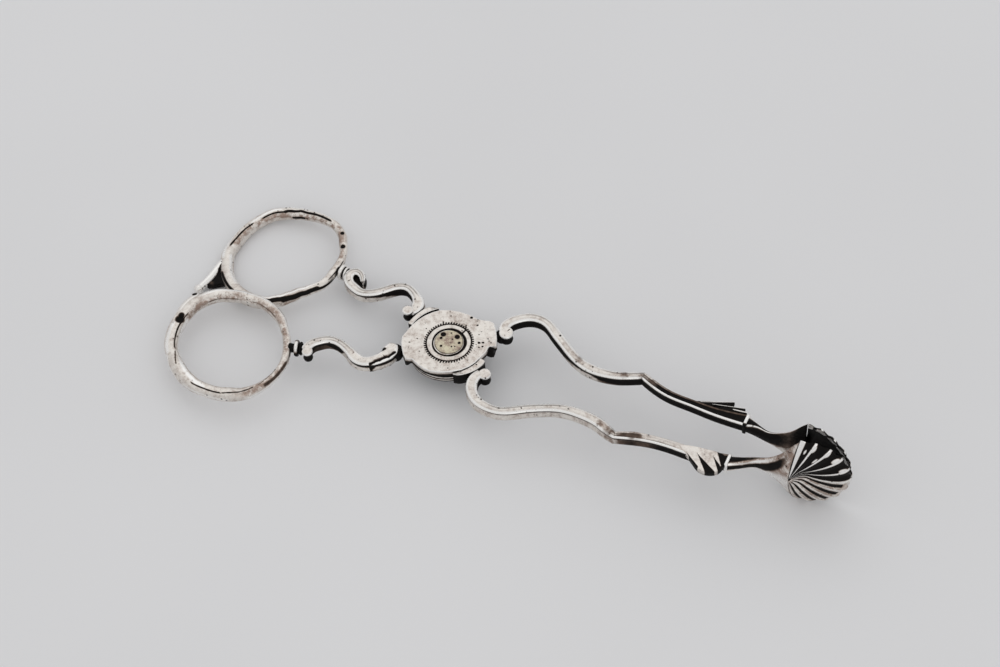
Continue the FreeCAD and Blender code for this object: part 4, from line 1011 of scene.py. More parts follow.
# ------------------------------------------------------------------------------ collars
def collar_piece(name, material, root, bearing, length, set_down, wear_and_shade):
    """A turned collar: band and bead as a lathe laid along its own bearing."""
    first = length - 0.22 - 0.45 - 0.7
    band_end = first + 0.7
    profile = np.array([
        (0.0, 0.35), (0.8, 0.35), (0.84, 0.7), (0.82, first - 0.15), (0.95, first - 0.03),
        (1.25, first + 0.02), (1.42, first + 0.12), (1.48, first + 0.35),
        (1.42, band_end - 0.12), (1.25, band_end - 0.02), (0.95, band_end + 0.04),
        (0.86, band_end + 0.11), (0.95, band_end + 0.18), (1.12, band_end + 0.24),
        (1.2, band_end + 0.42), (1.1, band_end + 0.60), (0.9, band_end + 0.67),
        (0.8, length + 0.35), (0.0, length + 0.4),
    ])
    fine = through(np.column_stack([profile[:, 0], profile[:, 1]]), 120)
    fine[:, 0] = np.maximum(fine[:, 0], 0.0)
    fine[[0, -1], 0] = 0.0
    turned = lathe(fine, 72)
    angle = np.arctan2(turned[..., 1], turned[..., 0])
    radius = np.linalg.norm(turned[..., :2], axis=-1)
    lobe = 1.0 + 0.03 * np.cos(6.0 * angle) * smooth(1.0, 1.3, radius)
    marks = no_marks(turned)
    along = turned[..., 2]
    # Painted shade where the collar narrows; painted highlight on band and bead.
    on_band = smooth(1.05, 1.28, radius)
    on_bead = smooth(0.98, 1.1, radius) * (along > band_end + 0.1)
    darken(marks, 1.0 - np.maximum(on_band, on_bead))
    darken(marks, 0.7 * np.maximum(on_band, on_bead), "polish")
    # Painted shade round all but one lit bearing, by the given amount.
    lit = np.exp(-(((angle - 1.95 + math.pi) % TURN - math.pi) / 0.95) ** 4)
    darken(marks, wear_and_shade * np.maximum(1.0 - lit, on_bead))
    turn = math.radians(bearing)
    x = root[0] + along * math.cos(turn) - turned[..., 0] * lobe * math.sin(turn)
    y = root[1] + along * math.sin(turn) + turned[..., 0] * lobe * math.cos(turn)
    z = MID_Z + turned[..., 1] * lobe
    points = np.stack([x, y, z], axis=-1)
    if set_down:
        points = lowered(points)
    return make_piece(name, [(points, marks, False)], material)


# ----------------------------------------------------------------------- lower shanks
# These sections are laid out like BAR_SECTION; their last column is a painted highlight along the edges.
LOWER_SECTION = np.array([
    (1.0, 0.0, 0.10, 0.0), (0.6, 0.0, 0.13, 0.0), (0.3, 0.25, 0.12, 0.0), (0.0, 0.42, 0.05, 0.8),
    (0.0, 0.30, 0.02, 1.0), (0.0, 0.18, 0.06, 1.0), (0.0, 0.08, 0.18, 0.8), (0.0, 0.04, 0.36, 0.1),
    (0.0, 0.08, 0.52, 0.0), (0.0, 0.14, 0.70, 0.0), (0.0, 0.17, 0.90, 0.0), (0.0, 0.15, 1.12, 0.0),
    (0.0, 0.08, 1.34, 0.0), (0.0, 0.03, 1.56, 0.0), (0.0, 0.0, 1.78, 0.0), (0.0, 0.04, 2.00, 0.3),
    (0.0, 0.16, 2.22, 0.5), (0.0, 0.36, 2.42, 0.4), (0.0, 0.62, 2.56, 0.0), (0.6, 0.0, 2.60, 0.0),
    (1.0, 0.0, 2.60, 0.0),
])
LEAF_SECTION = np.array([
    (1.0, 0.0, 0.0, 0.5), (0.5, 0.0, 0.01, 0.5), (0.0, 0.14, 0.04, 0.8), (0.0, 0.05, 0.12, 0.9),
    (0.0, 0.0, 0.26, 0.5), (0.0, 0.0, 0.42, 0.0), (0.0, 0.03, 0.9, 0.0), (0.3, 0.0, 1.5, 0.0),
    (1.0, 0.0, 1.6, 0.0),
])


def leaf_grid(line, top, thickness, dark, black_top=0.0):
    """A pointed leaf: a ridged section on a plan spline, thinning to its tip."""
    stations = 60
    rows = through(line, stations)
    centre = np.column_stack([rows[:, :2], np.full(stations, top)])
    tangent = unit(np.gradient(centre, axis=0))
    side = np.column_stack([-tangent[:, 1], tangent[:, 0], np.zeros(stations)])
    centre, side, half, scale = capped(centre, tangent, side, rows[:, 2] / 2.0, (0.1, 0.12))
    across, down, shine = loop_section(LEAF_SECTION, half, 1.0)
    points = centre[:, None, :] + side[:, None, :] * (across * scale[:, None])[..., None]
    points[..., 2] -= down * thickness / 1.6
    marks = no_marks(points)
    # Painted highlight along the edges, painted shade down the sides, and the whole leaf painted black
    # as shade where its top is given.
    marks["polish"] = shine * np.ones_like(down)
    darken(marks, dark * smooth(0.2, 0.36, down))
    darken(marks, black_top)
    marks["polish"] = marks["polish"] * (1.0 - black_top)
    return points, marks


def lower_shank_piece(name, material, line, flange, front_table, top_dark, leaves, patches):
    """The straight shank from knuckle to band, hollow along its top, with its leaves."""
    tables = (front_table, PLAIN_SIDE)
    points, marks, share = bar_grid(
        line, -1.0, tables, height=2.35, section=LOWER_SECTION, cap=(0.1, 0.1),
        square_last=True, square_first=True)
    columns = points.shape[1]
    inner = np.minimum(np.arange(columns), columns - np.arange(columns))
    top = (inner <= 2)[None, :]
    rear = (np.arange(columns) > len(LOWER_SECTION) - 1)[None, :] & (inner <= 8)[None, :]
    dark = np.interp(share, *np.array(top_dark, float).T)[:, None]
    # The top hollow darkened along the run by the given table; the back side painted darker as shade,
    # with less highlight.
    darken(marks, np.where(top, dark, 0.0))
    darken(marks, np.where(rear, 0.5 * dark, 0.0))
    marks["polish"] = marks["polish"] * np.where(rear, 0.15, 1.0)
    tinted(points, marks, patches)
    grids = [(points, marks, False)]
    for leaf in leaves:
        grids.append((*leaf_grid(*leaf), False))
    outline, top, bottom, wedges = flange
    slab, slab_marks = slab_grid(outline, top, bottom)
    # A slab without wedges is painted black all over, as shade under the leaves.
    darken(slab_marks, 0.0 if wedges else 1.0)
    wedge_marks(slab, slab_marks, wedges)
    grids.append((slab, slab_marks, False))
    return make_piece(name, grids, material)


# Front sides of the straight shanks, black with patina and painted shade and dark reflection, laid out
# like the scrolls' tables.
TOP_LOWER_FRONT = [(0.0, 1.0, 1.0, 0.6), (0.3, 1.0, 1.0, 0.7), (1.0, 1.0, 1.0, 0.9)]
UNDER_LOWER_FRONT = [
    (0.0, 0.12, 0.8, 0.2), (0.1, 0.10, 0.9, 0.6), (0.3, 0.10, 1.0, 0.5), (0.42, 0.10, 0.9, 0.8),
    (0.55, 0.2, 1.0, 0.9), (0.8, 1.0, 1.0, 0.9), (1.0, 1.0, 1.0, 0.9),
]
# Each leaf: its spline, top, thickness, how black its side is painted as shade, and how black its top is
# painted as shade, where given.
TOP_LEAVES = [
    ([(44.2, 4.1, 0.8), (46.6, 4.9, 0.95), (48.8, 5.7, 0.75), (50.2, 6.35, 0.45)],
     2.45, 1.3, 1.0, 1.0),
    ([(47.8, 4.1, 0.9), (49.6, 4.8, 1.0), (51.2, 5.3, 0.75), (52.4, 5.8, 0.45)],
     2.4, 1.2, 1.0, 1.0),
    ([(45.0, 4.6, 0.12), (47.0, 5.35, 0.12), (48.8, 6.05, 0.12), (50.2, 6.6, 0.1)], 2.5, 1.0, 0.6),
    ([(47.0, 4.9, 0.12), (49.0, 5.35, 0.12), (50.8, 5.75, 0.12), (52.3, 6.1, 0.12)], 2.45, 1.0, 0.6),
    ([(50.6, 5.2, 0.2), (51.6, 5.3, 0.25), (52.8, 5.45, 0.25)], 2.45, 1.0, 0.6),
]
# Each slab below the leaves: outline, top, bottom and black wedges painted on it as shade.
TOP_FLANGE = (
    [(44.5, 3.6), (46.5, 4.9), (49.0, 5.8), (50.0, 5.9), (52.6, 5.6), (53.0, 4.6), (53.0, 3.4)],
    2.2, 0.6, [])
UNDER_FLANGE = (
    [(44.6, -4.9), (46.2, -6.0), (47.6, -6.8), (48.6, -7.8), (49.9, -8.55), (51.2, -8.4),
     (52.5, -7.8), (53.1, -7.0), (53.1, -4.0), (51.0, -3.9), (47.0, -4.3)], 2.62, 1.5,
    [(48.3, -5.5, 51.6, -8.3, 0.75), (50.9, -5.0, 53.3, -7.5, 0.5), (53.2, -7.0, 52.2, -3.7, 0.95),
     (46.6, -6.0, 49.0, -8.0, 0.32)])


# -------------------------------------------------------------------------------- necks
JAW_Y = -0.18
LIFT = 0.9
HEEL_X = 63.9
CORNER_X = 64.7
TIP_X = 73.3
SHELL_HEIGHT = 17.2
SPREAD = 98.0
HEEL_DEPTH = 4.45
DOME = 2.3
CORNER_GAP = 1.84
TIP_GAP = 0.2
WAIST_DEPTH = 2.75
WAIST = 1.4
BAND_X = 53.1
BAND_THICKNESS = 0.6
BAND_HALF = 1.36
FLARE_OVERLAP = 0.95
# Share of the neck's run, outward bulge and inward curl, width in waists, height in shells.
NECK_ROWS = np.array([
    (0.38, 0.0, 0.0, 1.0, 0.155), (0.55, 0.08, 0.16, 1.0, 0.262), (0.68, 0.26, 0.36, 0.95, 0.405),
    (0.79, 0.52, 0.56, 0.9, 0.590), (0.89, 0.78, 0.76, 0.82, 0.800), (1.0, 0.97, 0.92, 0.62, 0.985),
])


def neck_grid(band_y, side):
    """The neck: ovals in planes of constant x, bowed round the shell's heel and trimmed there."""
    start = BAND_X + BAND_THICKNESS - 0.1
    run = HEEL_X + FLARE_OVERLAP - start
    waist_y = JAW_Y + side * WAIST_DEPTH
    reach = HEEL_DEPTH - WAIST_DEPTH - WAIST / 4.0
    edge = WAIST_DEPTH - CORNER_GAP
    middle = 0.5 * (band_y + waist_y)
    x = start + NECK_ROWS[:, 0] * run
    first = np.array([
        (start, band_y, band_y, 2.6, 2.6),
        (start + 0.18 * run, middle, middle, 1.3 * WAIST, 0.15 * SHELL_HEIGHT)])
    rest = np.column_stack([
        x, waist_y + side * NECK_ROWS[:, 1] * reach, waist_y - side * NECK_ROWS[:, 2] * edge,
        NECK_ROWS[:, 3] * WAIST, NECK_ROWS[:, 4] * SHELL_HEIGHT])
    rows = through(np.concatenate([first, rest]), 130)
    angle = np.linspace(0.0, TURN, 72, endpoint=False)
    c = np.cos(angle)[None, :]
    s = np.sin(angle)[None, :]
    thin = np.sign(c) * np.abs(c) ** 1.15
    up = rows[:, 4:5] / 2.0 * np.sign(s) * np.abs(s) ** 0.92
    bow = (rows[:, 2:3] - rows[:, 1:2]) * s ** 2
    y = rows[:, 1:2] + bow + side * rows[:, 3:4] / 2.0 * thin
    lift = LIFT * (rows[:, 0:1] - start) / run
    z = MID_Z + lift + up
    points = np.stack([np.broadcast_to(rows[:, 0:1], y.shape), y, z], axis=-1)
    ends = [
        row.mean(axis=1, keepdims=True) * np.ones_like(row) for row in (points[:1], points[-1:])]
    points = np.concatenate([ends[0], points, ends[1]])
    tilt = math.atan2(CORNER_X - HEEL_X, HEEL_DEPTH - CORNER_GAP)
    normal = np.array([math.cos(tilt), side * math.sin(tilt), 0.0])
    heel = np.array([HEEL_X - 0.1, JAW_Y + side * HEEL_DEPTH, 0.0])
    past = np.maximum((points - heel) @ normal, 0.0)
    points = points - past[..., None] * normal
    marks = no_marks(points)
    share = (points[..., 0] - start) / run
    degrees = (np.degrees(angle) + 90.0) % 360.0 - 90.0
    return points, marks, share, np.broadcast_to(degrees, share.shape)


def band_grid(band_y, shaded_front):
    """The plain band: a short rounded block across the shank's end, with a painted highlight all over;
    its front and underside may be painted black as shade.
    """
    angle = np.linspace(0.0, TURN, 72, endpoint=False)
    power = 6.0
    reach = 1.0 / (np.abs(np.cos(angle)) ** power + np.abs(np.sin(angle)) ** power) ** (1.0 / power)
    x = BAND_X + np.array([0.0, 0.0, 0.06, 0.2, 0.45, 0.57, 0.6, 0.6])
    grow = np.array([0.0, 0.9, 0.97, 1.0, 1.0, 0.96, 0.9, 0.0])[:, None]
    y = band_y + BAND_HALF * grow * reach * np.cos(angle)
    z = MID_Z + BAND_HALF * grow * reach * np.sin(angle)
    points = np.stack([np.broadcast_to(x[:, None], y.shape), y, z], axis=-1)
    marks = no_marks(points)
    # Painted highlight over the whole band.
    marks["polish"] += 0.9
    if shaded_front:
        c = np.cos(angle)[None, :]
        s = np.sin(angle)[None, :]
        # Painted shade on the front and underside.
        facing = smooth(-0.35, 0.1, s) * (1.0 - smooth(0.74, 0.92, s))
        darken(marks, facing * (c < 0.0) + (s < 0.0))
    return points, marks


def stripe(share, degrees, rows):
    """A stripe along a neck: rows of share, middle lean, half width in degrees and strength."""
    rows = np.array(rows, float)
    middle, width, strength = (np.interp(share, rows[:, 0], rows[:, k]) for k in (1, 2, 3))
    return strength * np.exp(-((degrees - middle) / width) ** 4)


# Lean is 0 towards the outside of the pair, 90 up and 180 inwards. Dark stripes are painted shade
# and dark reflection, bright stripes painted highlights and reflection, warm stripes brown stain.
NEAR_NECK_STRIPES = [
    ("oxide", [(0.0, 100, 44, 0.9), (0.12, 94, 38, 0.88), (0.28, 90, 30, 0.65), (0.42, 100, 22, 0.4),
               (0.55, 110, 18, 0.3), (0.7, 116, 18, 0.2), (1.0, 116, 18, 0.1)]),
    ("oxide", [(0.0, 20, 17, 1.0), (0.2, 2, 20, 1.0), (0.34, 0, 24, 1.0), (0.5, 10, 26, 1.0),
               (0.62, 24, 22, 1.0), (0.74, 36, 18, 0.9), (0.88, 44, 12, 0.0)]),
    ("polish", [(0.0, 50, 6, 0.8), (0.14, 36, 6, 0.8), (0.26, 34, 8, 0.6), (0.36, 46, 13, 1.0),
                (0.5, 54, 13, 1.0), (0.6, 60, 9, 0.3), (0.68, 64, 8, 0.0)]),
    ("wipe", [(0.0, -36, 18, 1.0), (0.3, -48, 22, 1.0), (0.45, -46, 24, 1.0), (0.62, -24, 20, 1.0),
              (0.8, -12, 18, 1.0), (1.0, -12, 16, 1.0)]),
    ("polish", [(0.0, -36, 22, 1.0), (0.3, -48, 26, 1.0), (0.45, -46, 26, 1.0), (0.62, -24, 22, 1.0),
                (0.8, -12, 16, 0.9), (1.0, -12, 14, 0.6)]),
    ("warm", [(0.0, 90, 60, 0.5), (0.5, 60, 90, 0.8), (0.72, 60, 120, 1.0), (1.0, 60, 120, 1.0)]),
]
FAR_NECK_STRIPES = [
    ("oxide", [(0.0, 100, 42, 0.85), (0.15, 88, 34, 0.85), (0.3, 62, 22, 0.9), (0.5, 52, 20, 0.6),
               (1.0, 45, 20, 0.5)]),
    ("oxide", [(0.0, 190, 46, 1.0), (0.2, 165, 60, 1.0), (0.4, 150, 62, 0.95), (0.55, 150, 60, 0.75),
               (0.7, 150, 60, 0.52), (0.82, 150, 60, 0.75), (0.92, 150, 60, 1.0), (1.0, 150, 60, 1.0)]),
    ("wipe", [(0.0, 138, 9, 1.0), (0.1, 118, 8, 1.0), (0.24, 92, 8, 1.0), (0.5, 80, 9, 1.0),
              (0.8, 78, 10, 1.0), (1.0, 80, 12, 1.0)]),
    ("polish", [(0.0, 138, 9, 1.0), (0.1, 118, 8, 1.0), (0.24, 92, 8, 1.0), (0.5, 80, 9, 1.0),
                (0.8, 78, 10, 0.8), (1.0, 80, 12, 1.0)]),
    ("polish", [(0.0, 48, 8, 1.0), (0.2, 42, 8, 1.0), (0.34, 36, 8, 0.3), (1.0, 36, 8, 0.2)]),
    ("warm", [(0.0, 150, 70, 0.5), (0.5, 150, 70, 1.0), (1.0, 150, 70, 1.0)]),
]


def neck_piece(name, material, band_y, side, stripes, shaded_front):
    """A neck with its stripes of painted shade, brown stain and painted highlight, and its plain band.
    """
    points, marks, share, degrees = neck_grid(band_y, side)
    for mark, rows in stripes:
        line = stripe(share, degrees, rows)
        if mark == "wipe":
            marks["oxide"] = marks["oxide"] * (1.0 - line)
        else:
            darken(marks, line, mark)
    grids = [(points, marks, False), (*band_grid(band_y, shaded_front), False)]
    return make_piece(name, grids, material)


# ------------------------------------------------------------------------------- shells
FLUTES = 10
WALL = 0.6
RIB = 0.46
CROWN = 0.3
SCALLOP = 0.22


def shell_points(bearing, along, inset, side):
    """The shell: over the fan, an ellipse of rim; along it, a depth that falls from the heel
    through a dome to the rim; ribs are a squared cosine of the bearing, growing to the rim."""
    fan = np.radians(bearing)
    reach = (TIP_X - CORNER_X) / (1.0 - math.cos(math.radians(SPREAD)))
    phase = FLUTES * (bearing / SPREAD + 1.0) / 2.0
    ridge = np.abs(np.cos(math.pi * phase)) ** 1.6
    trim = inset + SCALLOP * (1.0 - ridge) * (inset == 0.0)
    rim_x = TIP_X - reach + (reach - trim) * np.cos(fan)
    rim_z = (SHELL_HEIGHT / 2.0 - trim) * np.sin(fan)
    x = HEEL_X + (rim_x - HEEL_X) * along
    z = MID_Z + LIFT + rim_z * along
    rim_gap = TIP_GAP + (CORNER_GAP - TIP_GAP) * (TIP_X - rim_x) / (TIP_X - CORNER_X)
    rise = HEEL_DEPTH - rim_gap
    before = rise + (DOME - rise) * np.sin(0.5 * math.pi * np.clip(along / CROWN, 0.0, 1.0))
    past = np.maximum(along - CROWN, 0.0) / (1.0 - CROWN)
    after = DOME * np.sqrt(np.clip(1.0 - past ** 2, 0.0, 1.0))
    middle = np.where(along < CROWN, before, after)
    edge = rise * (1.0 - along) + 0.5 * np.sin(math.pi * along)
    blend = np.maximum(0.0, np.cos(0.5 * math.pi * bearing / SPREAD)) ** 0.71
    depth = edge + (middle - edge) * blend
    if inset > 0.0:
        depth = np.maximum(0.0, depth - inset * np.sqrt(np.clip(1.0 - along ** 6, 0.0, 1.0)))
        lift = np.zeros_like(depth)
    else:
        lift = RIB * (ridge - 0.55) * along * (1.0 - 0.6 * smooth(0.86, 1.0, along))
    point = np.stack([x, JAW_Y + side * (rim_gap + depth), z], axis=-1)
    root = np.array([HEEL_X + 0.4 * (TIP_X - HEEL_X), JAW_Y, MID_Z + LIFT])
    outward = unit(point - root)
    outward[..., 1] = outward[..., 1] * (1.0 - along ** 8)
    return point + outward * lift[..., None], phase


# Painted glints in the near shell's upper flutes: place among the flutes, share along, spread of both.
SHELL_GLINTS = [
    (9.44, 0.82, 0.12, 0.07), (8.92, 0.90, 0.16, 0.09), (8.22, 0.70, 0.12, 0.09),
    (7.96, 0.92, 0.18, 0.09), (7.16, 0.92, 0.24, 0.08), (6.1, 0.92, 0.24, 0.08),
]


def shell_piece(name, material, side):
    """A shell closed all round: ribbed outer sheet, rounded rim and smooth inner sheet."""
    columns = FLUTES * 28 + 1
    bearing = np.linspace(-SPREAD, SPREAD, columns)[None, :]
    along = np.concatenate([np.linspace(0.04, 0.8, 34), np.linspace(0.815, 1.0, 20)])[:, None]
    outer, phase = shell_points(bearing, along, 0.0, side)
    inner, _ = shell_points(bearing, along, WALL, side)
    lip = np.array([0.25, 0.5, 0.75])[:, None, None]
    rim = outer[-1:] + (inner[-1:] - outer[-1:]) * lip
    heel = inner[:1] + (outer[:1] - inner[:1]) * lip
    profile = np.concatenate([outer, rim, inner[::-1], heel])
    run = along * np.ones_like(bearing)
    flute = np.abs(phase % 1.0 - 0.5) * 2.0 * np.ones_like(run)
    # Painted dark reflection down the flutes, on the upper half right to the rim.
    upper = smooth(-6.0, 8.0, bearing)
    width = 0.40 + 0.44 * upper
    black = 1.0 - smooth(width - 0.12, width + 0.10, flute)
    end = 0.945 + 0.2 * upper
    black = black * (1.0 - smooth(end - 0.02, end + 0.015, run + 0.05 * flute * (1.0 - upper)))
    black = black * smooth(0.02, 0.16 - 0.08 * upper, run)
    # Painted highlight: the near shell's top edge strip, the ribs and the glints.
    edge_strip = smooth(9.62, 9.74, phase) * (side < 0.0) * np.ones_like(run)
    black = black * (1.0 - edge_strip)
    bright = np.maximum(0.95 * edge_strip, smooth(0.74, 0.94, flute) * (0.75 + 0.25 * upper))
    for place, share, wide, long in SHELL_GLINTS:
        glint = np.exp(-((phase - place) / wide) ** 2 - ((run - share) / long) ** 2)
        bright = np.maximum(bright, glint)
    black = black * (1.0 - 0.97 * np.where(upper > 0.2, smooth(0.25, 0.7, bright), 0.0))
    lips = np.ones((3, 1)) * np.ones_like(bearing)
    # Rim lip: on the far shell a painted highlight with dark notches, on the near shell painted dark on
    # its upper half. Inside, both are painted black as shade, save bright ridges near the far shell's
    # rim.
    edge = 1.0 - smooth(0.16, 0.34, flute[:3]) if side > 0.0 else 0.95 * upper * lips
    hollow = 1.0 - (side > 0.0) * smooth(0.86, 0.90, run[::-1]) * smooth(0.16, 0.34, flute)
    marks = {
        "oxide": np.concatenate([black, edge, hollow, lips]),
        "polish": np.concatenate([bright, (1.0 - edge) * lips, 1.0 - hollow, 0.0 * lips]),
        "warm": np.concatenate([0.45 * (1.0 - upper) + 0.0 * run, 0.0 * lips, 0.0 * run, 0.0 * lips]),
    }
    points = np.swapaxes(profile, 0, 1)
    marks = {mark: np.swapaxes(value, 0, 1) for mark, value in marks.items()}
    count = len(along)
    mate = np.concatenate([
        np.arange(count + 3, 2 * count + 3)[::-1], np.arange(count, count + 3)[::-1],
        np.arange(count)[::-1], np.arange(2 * count + 3, 2 * count + 6)[::-1]])
    first = 0.5 * (points[:1] + points[:1, mate])
    last = 0.5 * (points[-1:] + points[-1:, mate])
    points = np.concatenate([first, points, last])
    marks = {mark: np.concatenate([value[:1], value, value[-1:]]) for mark, value in marks.items()}
    return make_piece(name, [(points, marks, False)], material)


# ---------------------------------------------------------------------------- materials
def colour_socket(tree, name, value):
    """Add a colour input to a node group."""
    socket = tree.interface.new_socket(name, in_out="INPUT", socket_type="NodeSocketColor")
    socket.default_value = (*value, 1.0)


def value_socket(tree, name, value):
    """Add a number input to a node group."""
    socket = tree.interface.new_socket(name, in_out="INPUT", socket_type="NodeSocketFloat")
    socket.default_value = value


def put(tree, kind, place, **settings):
    """Add a node at a place, with its properties set."""
    node = tree.nodes.new(kind)
    node.location = place
    for key, value in settings.items():
        setattr(node, key, value)
    return node


def math_node(tree, operation, place, first, second):
    """A Math node; each operand is a socket or a number."""
    node = put(tree, "ShaderNodeMath", place, operation=operation)
    for slot, operand in enumerate((first, second)):
        if isinstance(operand, bpy.types.NodeSocket):
            tree.links.new(operand, node.inputs[slot])
        else:
            node.inputs[slot].default_value = operand
    return node.outputs[0]


def ranged(tree, place, value, low, high, out_low=0.0, out_high=1.0):
    """A smooth Map Range from low..high to out_low..out_high."""
    node = put(tree, "ShaderNodeMapRange", place, interpolation_type="SMOOTHSTEP")
    tree.links.new(value, node.inputs["Value"])
    for key, number in zip(
            ("From Min", "From Max", "To Min", "To Max"), (low, high, out_low, out_high)):
        node.inputs[key].default_value = number
    return node.outputs["Result"]


def mixed(tree, place, factor, first, second):
    """A colour mix; the factor is a socket, each colour a socket or a tuple."""
    node = put(tree, "ShaderNodeMix", place, data_type="RGBA")
    tree.links.new(factor, node.inputs[0])
    for slot, colour in ((6, first), (7, second)):
        if isinstance(colour, bpy.types.NodeSocket):
            tree.links.new(colour, node.inputs[slot])
        else:
            node.inputs[slot].default_value = (*colour, 1.0)
    return node.outputs[2]


def noise(tree, place, vector, scale, detail=3.0, roughness=0.55):
    """A Noise Texture on Object coordinates."""
    node = put(tree, "ShaderNodeTexNoise", place)
    node.inputs["Scale"].default_value = scale
    node.inputs["Detail"].default_value = detail
    node.inputs["Roughness"].default_value = roughness
    tree.links.new(vector, node.inputs["Vector"])
    return node.outputs["Fac"]


def old_silver_group():
    """Shared surface of old silver: mottled stain, fine pits, and from the marks painted highlights,
    painted shade and black patina.
    """
    tree = bpy.data.node_groups.new("tarnish_and_painted_light", "ShaderNodeTree")
    for name in ("Oxide", "Polish", "Warm"):
        value_socket(tree, name, 0.0)
    value_socket(tree, "Stain", 0.5)
    value_socket(tree, "Pits", 1.0)
    colour_socket(tree, "Silver", (0.86, 0.82, 0.76))
    colour_socket(tree, "Stained", (0.55, 0.42, 0.36))
    colour_socket(tree, "Patina_and_shade", (0.006, 0.005, 0.0045))
    tree.interface.new_socket("Color", in_out="OUTPUT", socket_type="NodeSocketColor")
    for name in ("Roughness", "Metallic", "Height"):
        tree.interface.new_socket(name, in_out="OUTPUT", socket_type="NodeSocketFloat")
    entry = put(tree, "NodeGroupInput", (-1400, 0))
    place = put(tree, "ShaderNodeTexCoord", (-1400, 400)).outputs["Object"]
    broad = noise(tree, (-1150, 600), place, 300.0, 4.0, 0.6)
    cloud = noise(tree, (-1150, 350), place, 1100.0, 5.0, 0.68)
    grain = noise(tree, (-1150, 100), place, 4200.0, 3.0, 0.6)
    cells = put(tree, "ShaderNodeTexVoronoi", (-1150, -200))
    cells.inputs["Scale"].default_value = 1050.0
    cells.inputs["Randomness"].default_value = 1.0
    tree.links.new(place, cells.inputs["Vector"])
    near = ranged(tree, (-950, -200), cells.outputs["Distance"], 0.12, 0.24, 1.0, 0.0)
    gate = ranged(tree, (-950, -450), cloud, 0.52, 0.58)
    pits = math_node(tree, "MULTIPLY", (-750, -300), near, gate)
    pits = math_node(tree, "MULTIPLY", (-600, -300), pits, entry.outputs["Pits"])
    mottle = ranged(tree, (-1000, 650), broad, 0.36, 0.66)
    mottle = math_node(tree, "MULTIPLY", (-950, 500), mottle, 0.75)
    fine = ranged(tree, (-1000, 450), cloud, 0.40, 0.66)
    fine = math_node(tree, "MULTIPLY", (-950, 350), fine, 0.75)
    specks = ranged(tree, (-1000, 250), grain, 0.52, 0.72)
    specks = math_node(tree, "MULTIPLY", (-950, 200), specks, 0.7)
    stain = math_node(tree, "ADD", (-850, 500), mottle, fine)
    stain = math_node(tree, "ADD", (-800, 450), stain, specks)
    warmth = math_node(tree, "ADD", (-800, 250), entry.outputs["Warm"], entry.outputs["Stain"])
    stain = math_node(tree, "MULTIPLY", (-650, 400), stain, warmth)
    stain = ranged(tree, (-500, 400), stain, 0.0, 1.7)
    colour = mixed(tree, (-300, 400), stain, entry.outputs["Silver"], entry.outputs["Stained"])
    # Painted highlight: the highlight mark mixes toward near white.
    colour = mixed(tree, (-150, 400), entry.outputs["Polish"], colour, (0.96, 0.95, 0.93))
    colour = mixed(tree, (0, 400), pits, colour, entry.outputs["Patina_and_shade"])
    # Patina and painted shade: the dark mark, frayed by noise, runs through umber to black.
    ragged = math_node(tree, "SUBTRACT", (-800, 0), cloud, 0.5)
    ragged = math_node(tree, "MULTIPLY", (-650, 0), ragged, 0.5)
    edge = math_node(tree, "ADD", (-500, 0), entry.outputs["Oxide"], ragged)
    umber = ranged(tree, (-350, 100), edge, 0.10, 0.45)
    colour = mixed(tree, (100, 400), umber, colour, (0.16, 0.115, 0.09))
    black = ranged(tree, (-350, 0), edge, 0.30, 0.75)
    colour = mixed(tree, (200, 400), black, colour, entry.outputs["Patina_and_shade"])
    rough = ranged(tree, (-350, -150), cloud, 0.3, 0.7, 0.28, 0.44)
    dull = math_node(tree, "MULTIPLY", (-300, -350), black, 0.2)
    rough = math_node(tree, "ADD", (-150, -100), rough, dull)
    shine = math_node(tree, "MULTIPLY", (-150, -350), entry.outputs["Polish"], 0.08)
    rough = math_node(tree, "SUBTRACT", (0, -100), rough, shine)
    metal = ranged(tree, (0, -300), black, 0.2, 1.0, 1.0, 0.0)
    height = math_node(tree, "MULTIPLY", (-300, -550), grain, 0.35)
    height = math_node(tree, "SUBTRACT", (0, -500), height, pits)
    swell = math_node(tree, "MULTIPLY", (0, -650), broad, 1.6)
    height = math_node(tree, "ADD", (150, -500), height, swell)
    leave = put(tree, "NodeGroupOutput", (400, 0))
    for name, socket in zip(
            ("Color", "Roughness", "Metallic", "Height"), (colour, rough, metal, height)):
        tree.links.new(socket, leave.inputs[name])
    return tree


def silver_material(name, group, silver, stained, stain, pits):
    """One finish of old silver: the shared group feeding a Principled shader."""
    material = bpy.data.materials.new(name)
    material.use_nodes = True
    tree = material.node_tree
    shader = tree.nodes["Principled BSDF"]
    surface = put(tree, "ShaderNodeGroup", (-500, 0), node_tree=group)
    surface.inputs["Stain"].default_value = stain
    surface.inputs["Pits"].default_value = pits
    surface.inputs["Silver"].default_value = (*silver, 1.0)
    surface.inputs["Stained"].default_value = (*stained, 1.0)
    for row, mark in enumerate(MARKS):
        node = put(tree, "ShaderNodeAttribute", (-750, -180 * row), attribute_name=mark)
        tree.links.new(node.outputs["Fac"], surface.inputs[mark.capitalize()])
    shader.inputs["Specular IOR Level"].default_value = 0.08
    bump = put(tree, "ShaderNodeBump", (-250, -300))
    bump.inputs["Strength"].default_value = 0.35
    bump.inputs["Distance"].default_value = 0.00006
    tree.links.new(surface.outputs["Height"], bump.inputs["Height"])
    tree.links.new(bump.outputs["Normal"], shader.inputs["Normal"])
    tree.links.new(surface.outputs["Color"], shader.inputs["Base Color"])
    tree.links.new(surface.outputs["Roughness"], shader.inputs["Roughness"])
    tree.links.new(surface.outputs["Metallic"], shader.inputs["Metallic"])
    return material


